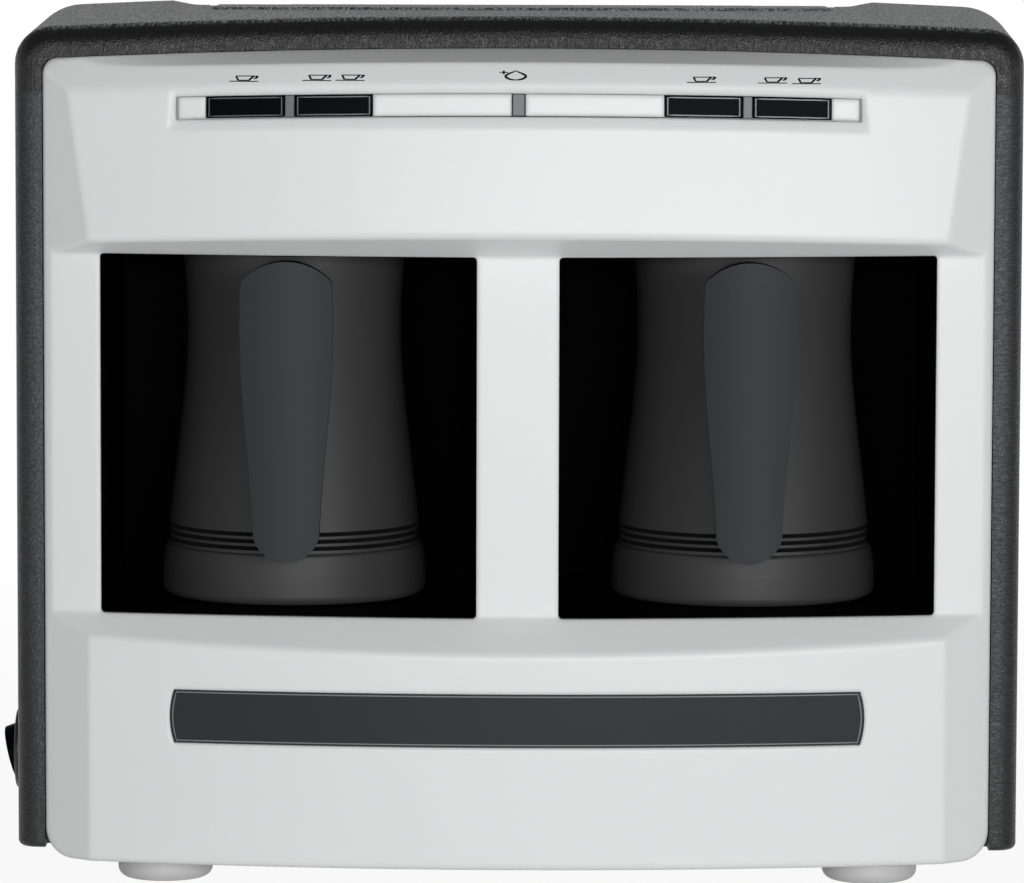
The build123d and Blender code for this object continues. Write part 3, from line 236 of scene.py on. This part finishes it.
def potFinish(name, look):
    # dark coated metal, dull in the ring grooves over the skirt, where painted shade makes it black
    finish = Finish(name, look)
    grain = finish.noise(look["grain"], 3.0, 0.6)
    along = (finish.axes()[2] - look["grooveZ"] * mm) / (look["groovePitch"] * mm)
    dip = along.calc("FRACT", along).below(look["grooveShare"])
    shadedGroove = dip * along.above(0.0) * along.below(look["grooves"])
    tone = finish.shade(finish.noise(look["mottle"], 3.0), 1 - look["spread"], 1 + look["spread"])
    # painted shade: the colour turns black in the grooves
    finish.feed("Base Color", finish.mixed(tone, (0, 0, 0, 1), shadedGroove))
    finish.feed("Roughness", look["roughness"] + (grain - 0.5) * look["glossSpread"] + shadedGroove)
    finish.bump(grain * look["relief"] - shadedGroove * look["grooveRelief"], mm)
    return finish


def brushedFinish(name, look):
    # metal with a turned or brushed line in it
    finish = Finish(name, look)
    lines = finish.noise(look["lineScale"], 3.0, 0.6, finish.stretched(look["stretch"]))
    haze = finish.noise(look["hazeScale"], 3.0)
    finish.feed("Base Color", finish.shade(lines, look["darker"], look["lighter"]))
    gloss = (lines - 0.5) * look["lineGloss"] + (haze - 0.5) * look["hazeGloss"]
    finish.feed("Roughness", look["roughness"] + gloss)
    finish.bump(lines, look["relief"] * mm)
    return finish


def boardFinish(name, look):
    # solder mask with copper runs just showing and tinned pads
    finish = Finish(name, look)
    runs = finish.node("ShaderNodeTexBrick", {"offset": look["runOffset"], "squash": look["runSquash"]}, {
        "Vector": finish.place, "Scale": look["runScale"], "Mortar Size": look["runWidth"],
        "Brick Width": look["runLength"], "Row Height": look["runPitch"]}, out="Fac")
    pads = finish.cells(look["padScale"], "F1").below(look["padSize"])
    mask = finish.mixed(finish.colour, (*look["runColour"], 1), runs * look["runShare"])
    finish.feed("Base Color", finish.mixed(mask, (*look["padColour"], 1), pads))
    finish.feed("Metallic", pads * look["padMetal"])
    finish.bump(runs + pads, look["relief"] * mm)
    return finish


plain = dict(make=mouldedFinish, grain=900.0, relief=0.02, spread=0.04, mottle=22.0, glossSpread=0.1)
brushed = dict(make=brushedFinish, hazeScale=30.0, darker=0.86, lighter=1.1, lineGloss=0.18, hazeGloss=0.08,
               sockets={"Metallic": 1.0})
leather = dict(
    make=leatherFinish, colour=(0.020, 0.022, 0.025), roughness=0.42, glossSpread=0.16, relief=0.18,
    warpScale=300.0, warp=1.6, pebbleScale=1100.0, pebbleDepth=0.8,
    wrinkleScale=900.0, wrinkleRough=0.6, wrinkleDepth=1.6, wrinkleStops=((0.4, 0.0), (0.6, 1.0)),
    topZ=238.0, topStretch=(2.0, 0.6, 0.4), rightStretch=(0.5, 0.5, 1.8), leftStretch=(1.2, 1.2, 1.5),
    # the tone factors here paint shade and light: darker wrinkle valleys, lighter ridges, lighter fronts and
    # top, darker front edge and low part, pale sheen specks on top
    valley=0.55, ridge=1.4, flatFrom=0.75, flatTone=1.5, topFlatTone=-0.2,
    edgeY=-79.0, bodyY=-60.0, edgeTone=0.15, lowZ=0.0, highZ=150.0, lowTone=0.1,
    lyingFrom=0.8, topTone=1.6, speckScale=1700.0, speckRough=0.7, speckStretch=(1.0, 0.12, 1.0),
    speckStops=((0.48, 0.0), (0.58, 1.0)), speckShare=0.95, speckColour=(0.40, 0.41, 0.42),
    seamZ=246.0, seamHalf=0.16, seamX=138.0, seamDepth=1.5, sockets={"Specular IOR Level": 0.42})
coated = dict(
    make=potFinish, colour=(0.047, 0.047, 0.0476), roughness=0.5, relief=0.012, spread=0.06, grain=900.0,
    mottle=22.0, glossSpread=0.1, grooveZ=0.0, groovePitch=1.0, grooveShare=0.0, grooves=0, grooveRelief=0.0,
    sockets={"Specular IOR Level": 0.3})
looks = {
    "hood_plastic": leather,
    "panel_plastic": dict(plain, colour=(0.79, 0.795, 0.80), roughness=0.38, spread=0.012, relief=0.012,
                          edgeRadius=2.2, sockets={"Specular IOR Level": 0.5}),
    "white_inner_plastic": dict(plain, colour=(0.78, 0.78, 0.77), roughness=0.42, spread=0.015),
    "band_plastic": dict(plain, colour=(0.027, 0.028, 0.0305), roughness=0.4, spread=0.08, relief=0.012,
                         sockets={"Specular IOR Level": 0.12}),
    "led_window": dict(plain, colour=(0.165, 0.167, 0.175), roughness=0.3, spread=0.05, relief=0.01,
                       sockets={"Specular IOR Level": 0.2}),
    "button_plastic": dict(plain, colour=(0.0025, 0.003, 0.0048), roughness=0.3, spread=0.1, relief=0.006,
                           glossSpread=0.04, sockets={"Specular IOR Level": 0.015}),
    "circuit_board": dict(make=boardFinish, colour=(0.012, 0.085, 0.035), roughness=0.35, relief=0.03,
                          runColour=(0.03, 0.16, 0.06), runShare=0.7, runScale=60.0, runWidth=0.05,
                          runLength=0.7, runPitch=0.2, runOffset=0.37, runSquash=1.6,
                          padColour=(0.55, 0.55, 0.52), padScale=260.0, padSize=0.16, padMetal=0.9),
    "black_plastic": dict(plain, colour=(0.014, 0.014, 0.015), roughness=0.45, relief=0.03, spread=0.12),
    "screw_steel": dict(brushed, colour=(0.52, 0.52, 0.50), roughness=0.32, lineScale=500.0,
                        stretch=(1, 1, 1), relief=0.01),
    "tank_plastic": dict(plain, colour=(0.20, 0.21, 0.22), roughness=0.18, relief=0.01,
                         sockets={"Transmission Weight": 0.62, "IOR": 1.49}),
    # with the facing limit this low, the painted top light and pale sheen specks cover the whole lid
    "lid_plastic": dict(leather, lyingFrom=-5.0),
    "pump_plastic": dict(plain, colour=(0.30, 0.29, 0.26), roughness=0.5, relief=0.03),
    "hose_rubber": dict(plain, colour=(0.62, 0.62, 0.60), roughness=0.4, relief=0.02,
                        sockets={"Subsurface Weight": 0.1}),
    "component_plastic": dict(plain, colour=(0.05, 0.05, 0.055), roughness=0.42, relief=0.02, spread=0.15),
    "foot_plastic": dict(plain, colour=(0.60, 0.60, 0.60), roughness=0.5, relief=0.03, spread=0.03),
    "bay_plastic": dict(plain, colour=(0.0015, 0.0015, 0.0016), roughness=0.7, relief=0.04, spread=0.15,
                        sockets={"Specular IOR Level": 0.02}),
    "sensor_plastic": dict(plain, colour=(0.03, 0.03, 0.035), roughness=0.2, relief=0.01),
    "pot_metal": dict(coated, grooveZ=100.7, groovePitch=2.1, grooveShare=0.58, grooves=3, grooveRelief=0.4),
    "pot_base_plastic": coated,
    "heater_metal": dict(brushed, colour=(0.62, 0.60, 0.56), roughness=0.35, lineScale=300.0,
                         stretch=(1, 1, 5), relief=0.02),
    "handle_core_plastic": dict(plain, colour=(0.012, 0.012, 0.012), roughness=0.42, relief=0.03, spread=0.1),
    "handle_plastic": dict(plain, colour=(0.033, 0.038, 0.039), roughness=0.5, grain=1300.0, relief=0.05,
                           spread=0.06, sockets={"Specular IOR Level": 0.12}),
}
finishes = {name: look["make"](name, look) for name, look in looks.items()}

slotOf = {part["node"]: part["material_slot"] for part in frame["record"]["subparts"]}
for name, obj in nodes.items():
    obj.data.materials.clear()
    obj.data.materials.append(finishes[slotOf[name]].material)
print("finishes on", len(slotOf), "nodes")


def surfaceOf(name):
    # what a drawn line is dropped onto
    mesh = nodes[name].data
    return BVHTree.FromPolygons([v.co for v in mesh.vertices], [p.vertices for p in mesh.polygons])


castFromY = -1000.0


def dropped(tree, x, z, lift):
    # the point on the surface that faces the front at x, z (mm), raised by lift (mm)
    hit = tree.ray_cast(Vector((x * mm, castFromY * mm, z * mm)), Vector((0, 1, 0)))[0]
    if hit is None:
        raise ValueError("nothing under " + str((x, z)))
    return Vector((hit.x, hit.y - lift * mm, hit.z))


def addPiece(name, mesh, slotName, body):
    piece = bpy.data.objects.new(name, mesh)
    bpy.context.scene.collection.objects.link(piece)
    if not mesh.materials:
        mesh.materials.append(finishes[slotName].material)
    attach(piece, body)


def finishedMesh(name, bm):
    bmesh.ops.recalc_face_normals(bm, faces=bm.faces)
    mesh = bpy.data.meshes.new(name)
    bm.to_mesh(mesh)
    bm.free()
    return mesh


def ribbonMesh(name, tree, strokes, lift, sink):
    # each stroke is a closed or open band of paired points (outer, inner), in mm on the front plane
    bm = bmesh.new()
    for pairs, closed in strokes:
        rows = []
        for outer, inner in pairs:
            a, b = dropped(tree, *outer, lift), dropped(tree, *inner, lift)
            back = Vector((0, sink * mm, 0))
            rows.append([bm.verts.new(p) for p in (a, b, b + back, a + back)])
        steps = range(len(rows)) if closed else range(len(rows) - 1)
        for i in steps:
            here, there = rows[i], rows[(i + 1) % len(rows)]
            for k in range(4):
                bm.faces.new((here[k], here[(k + 1) % 4], there[(k + 1) % 4], there[k]))
        if not closed:
            bm.faces.new(rows[0])
            bm.faces.new(list(reversed(rows[-1])))
    return finishedMesh(name, bm)


def stroke(points, width, closed=False, widths=None):
    # widens a line of points to a band
    pairs = []
    count = len(points)
    for i, (x, z) in enumerate(points):
        before = points[i - 1] if closed or i else points[i]
        after = points[(i + 1) % count] if closed or i < count - 1 else points[i]
        dx, dz = after[0] - before[0], after[1] - before[1]
        size = math.hypot(dx, dz) or 1
        half = (widths[i] if widths else width) / 2
        nx, nz = -dz / size * half, dx / size * half
        pairs.append(((x + nx, z + nz), (x - nx, z - nz)))
    return pairs, closed


cupIcon = {
    "width": 8.5, "saucerLine": 0.27, "baseZ": 0.3, "rimZ": 1.5, "rimLine": 0.27,
    "baseLeft": -1.65, "baseRight": 1.5, "rimLeft": -2.35, "rimRight": 2.85, "sideLine": 0.56,
    "handleTop": 4.2, "handleLow": 3.35, "handleBack": 2.8, "handleZ": 0.82, "lift": 0.05, "sink": 0.16,
    "places": {
        "cupMarkLeftSingle": ((-80.2, 241.75),), "cupMarkLeftPair": ((-58.8, 242.15), (-49.1, 242.25)),
        "cupMarkRightSingle": ((53.2, 241.95),), "cupMarkRightPair": ((74.0, 241.75), (83.9, 241.55)),
    },
}


def cupStrokes(c, x, z):
    def at(points):
        return [(x + px, z + pz) for px, pz in points]
    half, low, high = c["width"] / 2, c["baseZ"], c["rimZ"]
    rim = [(c["rimLeft"], high), (0, high), (c["rimRight"], high), (c["handleTop"], high)]
    return [
        stroke(at([(-half, 0), (-half / 3, 0), (half / 3, 0), (half, 0)]), c["saucerLine"]),
        stroke(at([(c["baseLeft"], low), (0, low), (c["baseRight"], low)]), c["saucerLine"]),
        stroke(at([(c["baseLeft"], low), (c["rimLeft"], high)]), c["sideLine"]),
        stroke(at([(c["baseRight"], low), (c["rimRight"], high)]), c["sideLine"]),
        stroke(at(rim), c["rimLine"]),
        stroke(at([(c["handleTop"], high), (c["handleLow"], c["handleZ"])]), c["sideLine"]),
        stroke(at([(c["handleLow"], c["handleZ"]), (c["handleBack"], c["handleZ"])]), c["rimLine"]),
    ]


dropIcon = {
    "x": -0.85, "z": 243.57, "halfWidth": 3.0, "low": -1.0, "peak": 1.65, "line": 0.66, "thin": 0.28,
    "plusX": -3.5, "plusZ": 1.15, "plusHalf": 1.3, "plusTall": 0.48, "plusLine": 0.22, "plusDot": 0.66,
    "belly": 0.68, "shoulder": 0.58, "tip": 0.12, "tipPower": 6, "steps": 48,
}


def dropStrokes(d):
    # a wide flattened drop with a pointed top, and a small plus beside it
    points, widths = [], []
    for i in range(d["steps"]):
        turn = 2 * math.pi * i / d["steps"]
        across = max(-1.0, min(1.0, math.sin(turn)))
        inward = 1 - abs(across)
        if math.cos(turn) < 0:
            z = d["peak"] * ((1 - d["tip"]) * inward ** d["shoulder"] + d["tip"] * inward ** d["tipPower"])
        else:
            z = d["low"] * (1 - across * across) ** d["belly"]
        points.append((d["x"] + d["halfWidth"] * across, d["z"] + z))
        widths.append(d["thin"] + (d["line"] - d["thin"]) * abs(across))
    plusX, plusZ = d["x"] + d["plusX"], d["z"] + d["plusZ"]
    across = [(plusX - d["plusHalf"], plusZ), (plusX, plusZ), (plusX + d["plusHalf"], plusZ)]
    upright = [(plusX, plusZ - d["plusTall"]), (plusX, plusZ), (plusX, plusZ + d["plusTall"])]
    return [stroke(points, 0, True, widths), stroke(across, d["plusLine"]), stroke(upright, d["plusDot"])]


panelSurface = surfaceOf("front_panel")
ink = mouldedFinish("printed_ink", dict(plain, colour=(0.004, 0.004, 0.005), roughness=0.6, relief=0.002,
                                        sockets={"Specular IOR Level": 0.05}))


def printMark(name, lines):
    mesh = ribbonMesh(name, panelSurface, lines, cupIcon["lift"], cupIcon["sink"])
    mesh.materials.append(ink.material)
    addPiece(name, mesh, "black_plastic", "casing")


for name, places in cupIcon["places"].items():
    printMark(name, [line for x, z in places for line in cupStrokes(cupIcon, x, z)])
printMark("dropMark", dropStrokes(dropIcon))
print("pictograms printed on the slope over the buttons")


# a lighter line round each button: painted highlight on its bevel
keyRim = {
    "inset": 0.75, "edgeInset": 0.5625, "line": 0.34, "lift": 0.05, "sink": 0.2, "steps": 10,
    "rows": 160, "startY": -200.0, "deepY": -82.5,
    "look": dict(plain, colour=(0.075, 0.077, 0.08), roughness=0.3, relief=0.004, glossSpread=0.05),
}
bevelHighlightFinish = mouldedFinish("button_bevel_highlight", keyRim["look"])


def capOutline(tree, name, c):
    # the rim of a cap as points on the front plane, found from the cap's own top and bottom
    low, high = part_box(name)
    left, right = low[0] / mm + c["inset"], high[0] / mm - c["inset"]
    rows = [low[2] + (high[2] - low[2]) * i / c["rows"] for i in range(c["rows"] + 1)]
    reach = (c["deepY"] - c["startY"]) * mm
    spine = []
    for i in range(c["steps"] + 1):
        x = left + (right - left) * i / c["steps"]
        column = [z / mm for z in rows if tree.ray_cast(
            Vector((x * mm, c["startY"] * mm, z)), Vector((0, 1, 0)), reach)[0] is not None]
        spine.append((x, min(column) + c["edgeInset"], max(column) - c["edgeInset"]))
    return spine


for key in ("outer_left", "inner_left", "inner_right", "outer_right"):
    capName = "button_" + key
    cap = surfaceOf(capName)
    spine = capOutline(cap, capName, keyRim)
    ring = [(x, high) for x, low, high in spine] + [(x, low) for x, low, high in reversed(spine)]
    name = "bevelLine_" + key
    mesh = ribbonMesh(name, cap, [stroke(ring, keyRim["line"], True)], keyRim["lift"], keyRim["sink"])
    mesh.materials.append(bevelHighlightFinish.material)
    addPiece(name, mesh, "button_plastic", "key_" + key)
print("bevel lines on the buttons")


# a lighter line round the band: painted highlight on its bevelled edge
bandLine = {
    "halfWidth": 101.4, "low": 47.9, "high": 62.2, "bulge": 1.1, "line": 0.35, "lift": 0.04, "sink": 0.2,
    "steps": 40, "endSteps": 6, "look": dict(plain, colour=(0.16, 0.165, 0.17), roughness=0.35, relief=0.004),
}


def bandStroke(b):
    # half of the outline from the top right to the lower left, then the same turned round
    end, middle, wide = b["halfWidth"] - b["bulge"], (b["low"] + b["high"]) / 2, b["high"] - b["low"]
    run = [(end - 2 * end * i / b["steps"], b["high"]) for i in range(b["steps"] + 1)]
    for i in range(1, b["endSteps"]):
        share = i / b["endSteps"]
        run.append((-end - b["bulge"] * math.sin(math.pi * share), b["high"] - wide * share))
    return [stroke(run + [(-x, 2 * middle - z) for x, z in run], b["line"], True)]


bandMesh = ribbonMesh(
    "bandEdgeHighlight", surfaceOf("name_band"), bandStroke(bandLine), bandLine["lift"], bandLine["sink"])
bandMesh.materials.append(mouldedFinish("band_edge_highlight", bandLine["look"]).material)
addPiece("bandEdgeHighlight", bandMesh, "band_plastic", "casing")
print("rim line on the bare band")


potRim = {"radius": 33.4, "z": 189.2, "bead": 0.85, "x": 68.325, "y": -33.0, "around": 96, "section": 12}


def beadMesh(name, c, side):
    bm = bmesh.new()
    rings = []
    for i in range(c["around"]):
        turn = 2 * math.pi * i / c["around"]
        ring = []
        for k in range(c["section"]):
            roll = 2 * math.pi * k / c["section"]
            radius = c["radius"] + c["bead"] * math.cos(roll)
            ring.append(bm.verts.new(((side * c["x"] + radius * math.cos(turn)) * mm,
                                      (c["y"] + radius * math.sin(turn)) * mm,
                                      (c["z"] + c["bead"] * math.sin(roll)) * mm)))
        rings.append(ring)
    for i, ring in enumerate(rings):
        after = rings[(i + 1) % len(rings)]
        for k in range(c["section"]):
            along = (k + 1) % c["section"]
            bm.faces.new((ring[k], ring[along], after[along], after[k])).smooth = True
    return finishedMesh(name, bm)


for side, word in ((-1, "left"), (1, "right")):
    addPiece("potBead_" + word, beadMesh("potBead_" + word, potRim, side), "pot_metal", "pot_" + word)
print("rolled rims on the pots")


tankSeal = {
    "innerX": 99.25, "outerX": 101.72, "innerY": 59.5, "outerY": 57.0, "backY": 103.5,
    "low": 256.4, "frontTop": 259.12, "backTop": 259.5, "bevel": 0.14, "slices": 16,
}


def sealMesh(name, c):
    # a U-shaped strip in the gap round the tank; across it, 0 is the tank's side and 1 the hood's
    def beside(side, y):
        return lambda t: (side * (c["innerX"] + t * (c["outerX"] - c["innerX"])), y)

    def ahead(x):
        return lambda t: (x, c["innerY"] + t * (c["outerY"] - c["innerY"]))

    def corner(side):
        return lambda t: (beside(side, 0)(t)[0], ahead(0)(t)[1])

    run = [c["innerY"] + (c["backY"] - c["innerY"]) * i / c["slices"] for i in range(1, c["slices"] + 1)]
    stations = [beside(-1, y) for y in reversed(run)] + [corner(-1)]
    stations += [ahead(c["innerX"] * (2 * i / c["slices"] - 1)) for i in range(1, c["slices"])]
    stations += [corner(1)] + [beside(1, y) for y in run]
    slope = (c["backTop"] - c["frontTop"]) / (c["backY"] - c["outerY"])
    bm = bmesh.new()
    rings = []
    for place in stations:
        ring = []
        for t, drop in ((0, None), (0, c["bevel"] * 2), (c["bevel"], 0), (1, 0), (1, None)):
            x, y = place(t)
            top = c["frontTop"] + slope * (y - c["outerY"])
            ring.append(bm.verts.new((x * mm, y * mm, (c["low"] if drop is None else top - drop) * mm)))
        rings.append(ring)
    for ring, after in zip(rings, rings[1:]):
        for k in range(len(ring)):
            bm.faces.new((ring[k], ring[(k + 1) % len(ring)], after[(k + 1) % len(ring)], after[k]))
    bm.faces.new(rings[0])
    bm.faces.new(rings[-1])
    return finishedMesh(name, bm)


addPiece("tankSeal", sealMesh("tankSeal", tankSeal), "hood_plastic", "casing")
print("seal strip round the tank")


photoCamera = {
    "lens": 209.05, "sensor": 36.0, "distance": 1.750, "height": 0.3006, "ringY": -0.085,
    "x": 0.009, "pitch": 5.4, "yaw": 0.3, "roll": 0.17, "shiftX": -5.4 / 1024, "clipEnd": 60.0,
}


def makeCamera(c):
    data = bpy.data.cameras.new("photoCamera")
    data.lens = c["lens"]
    data.sensor_width = c["sensor"]
    data.shift_x = c["shiftX"]
    data.clip_end = c["clipEnd"]
    pitch, roll, yaw = (math.radians(c[key]) for key in ("pitch", "roll", "yaw"))
    look = Vector((-math.sin(yaw) * math.cos(pitch), math.cos(yaw) * math.cos(pitch), -math.sin(pitch)))
    side = Vector((math.cos(yaw), math.sin(yaw), 0))
    up = side.cross(look)
    right = side * math.cos(roll) + up * math.sin(roll)
    over = up * math.cos(roll) - side * math.sin(roll)
    cam = bpy.data.objects.new("photoCamera", data)
    place = Matrix((right, over, -look)).transposed().to_4x4()
    place.translation = Vector((c["x"], c["ringY"] - c["distance"], c["height"]))
    cam.matrix_world = place
    bpy.context.scene.collection.objects.link(cam)
    bpy.context.scene.camera = cam


makeCamera(photoCamera)

studio = {
    "ambient": 0.2, "dim": 0.1, "ceilingFrom": 0.1, "ceilingTo": 0.5, "backdropFrom": -0.1, "backdropTo": 0.6,
    "wall": 0.5, "wallFrom": -0.2, "wallTo": -0.6,
    "floorHalf": 9.0, "floorTone": 0.9, "clearFrom": 0.25, "clearTo": 0.9, "nearGlow": 0.93,
    "lampPlace": (0.48, -2.6, 0.36), "lampTarget": (0.0, 0.0, 0.14),
    "lampSize": (2.1, 0.35), "lampPower": 43.0,
}


def seenBy(tree, *rays):
    # 1 for the kinds of ray that are to see a plain white background
    path = tree.nodes.new("ShaderNodeLightPath")
    seen = Signal(tree, path.outputs[rays[0]])
    for ray in rays[1:]:
        seen = seen.calc("MAXIMUM", seen, Signal(tree, path.outputs[ray]))
    return seen


def fade(tree, value, start, end, low, high):
    return addNode(tree, "ShaderNodeMapRange", None, {
        "Value": value, "From Min": start, "From Max": end, "To Min": low, "To Max": high})


def makeWorld(s):
    world = bpy.data.worlds.new("studio")
    bpy.context.scene.world = world
    world.use_nodes = True
    tree = world.node_tree
    back = tree.nodes["Background"]
    back.inputs["Color"].default_value = (1, 1, 1, 1)
    # mirrored rays meet the white backdrop behind, a pale wall in front and a dim room elsewhere
    way = addNode(tree, "ShaderNodeTexCoord", out="Generated")
    up = addNode(tree, "ShaderNodeSeparateXYZ", None, {0: way}, out="Z")
    behind = addNode(tree, "ShaderNodeSeparateXYZ", None, {0: way}, out="Y")
    overhead = fade(tree, up, s["ceilingFrom"], s["ceilingTo"], 1.0, s["dim"])
    backdrop = fade(tree, behind, s["backdropFrom"], s["backdropTo"], s["dim"], 1.0)
    wall = fade(tree, behind, s["wallFrom"], s["wallTo"], s["dim"], s["wall"])
    plainly = seenBy(tree, "Is Camera Ray", "Is Transmission Ray")
    mirrored = seenBy(tree, "Is Glossy Ray") * overhead * backdrop.calc("MAXIMUM", backdrop, wall)
    seen = plainly.calc("MAXIMUM", plainly, mirrored)
    tree.links.new(seen.calc("MAXIMUM", seen, s["ambient"]).socket, back.inputs["Strength"])


def makeLamp(s):
    lamp = bpy.data.lights.new("frontSoftbox", "AREA")
    lamp.shape = "RECTANGLE"
    lamp.size, lamp.size_y = s["lampSize"]
    lamp.energy = s["lampPower"]
    obj = bpy.data.objects.new("frontSoftbox", lamp)
    way = Vector(s["lampTarget"]) - Vector(s["lampPlace"])
    turn = way.to_track_quat("-Z", "Y").to_matrix().to_4x4()
    obj.matrix_world = Matrix.Translation(s["lampPlace"]) @ turn
    bpy.context.scene.collection.objects.link(obj)


def makeFloor(s):
    half = s["floorHalf"]
    mesh = bpy.data.meshes.new("floor")
    corners = [(-half, -half, 0), (half, -half, 0), (half, half, 0), (-half, half, 0)]
    mesh.from_pydata(corners, [], [(0, 1, 2, 3)])
    mat = bpy.data.materials.new("pale_floor")
    mat.use_nodes = True
    tree = mat.node_tree
    shader = tree.nodes["Principled BSDF"]
    shader.inputs["Base Color"].default_value = (s["floorTone"],) * 3 + (1,)
    shader.inputs["Roughness"].default_value = 0.9
    shader.inputs["Specular IOR Level"].default_value = 0.0
    # the floor keeps its shadow near the object and clears to the white of the background further off
    glow = addNode(tree, "ShaderNodeEmission", None, {"Color": (1, 1, 1, 1), "Strength": 1.0})
    away = addNode(tree, "ShaderNodeVectorMath", {"operation": "LENGTH"}, {
        0: addNode(tree, "ShaderNodeTexCoord", out="Object")}, out="Value")
    clear = fade(tree, away, s["clearFrom"], s["clearTo"], s["nearGlow"], 1.0)
    share = seenBy(tree, "Is Camera Ray", "Is Glossy Ray") * clear
    blend = addNode(tree, "ShaderNodeMixShader", None, {
        0: share, 1: Signal(tree, shader.outputs[0]), 2: glow})
    tree.links.new(blend.socket, tree.nodes["Material Output"].inputs["Surface"])
    mesh.materials.append(mat)
    floor = bpy.data.objects.new("floor", mesh)
    bpy.context.scene.collection.objects.link(floor)


makeWorld(studio)
makeLamp(studio)
makeFloor(studio)
bpy.context.scene.view_settings.view_transform = "Standard"
print("camera, lamp and floor set")
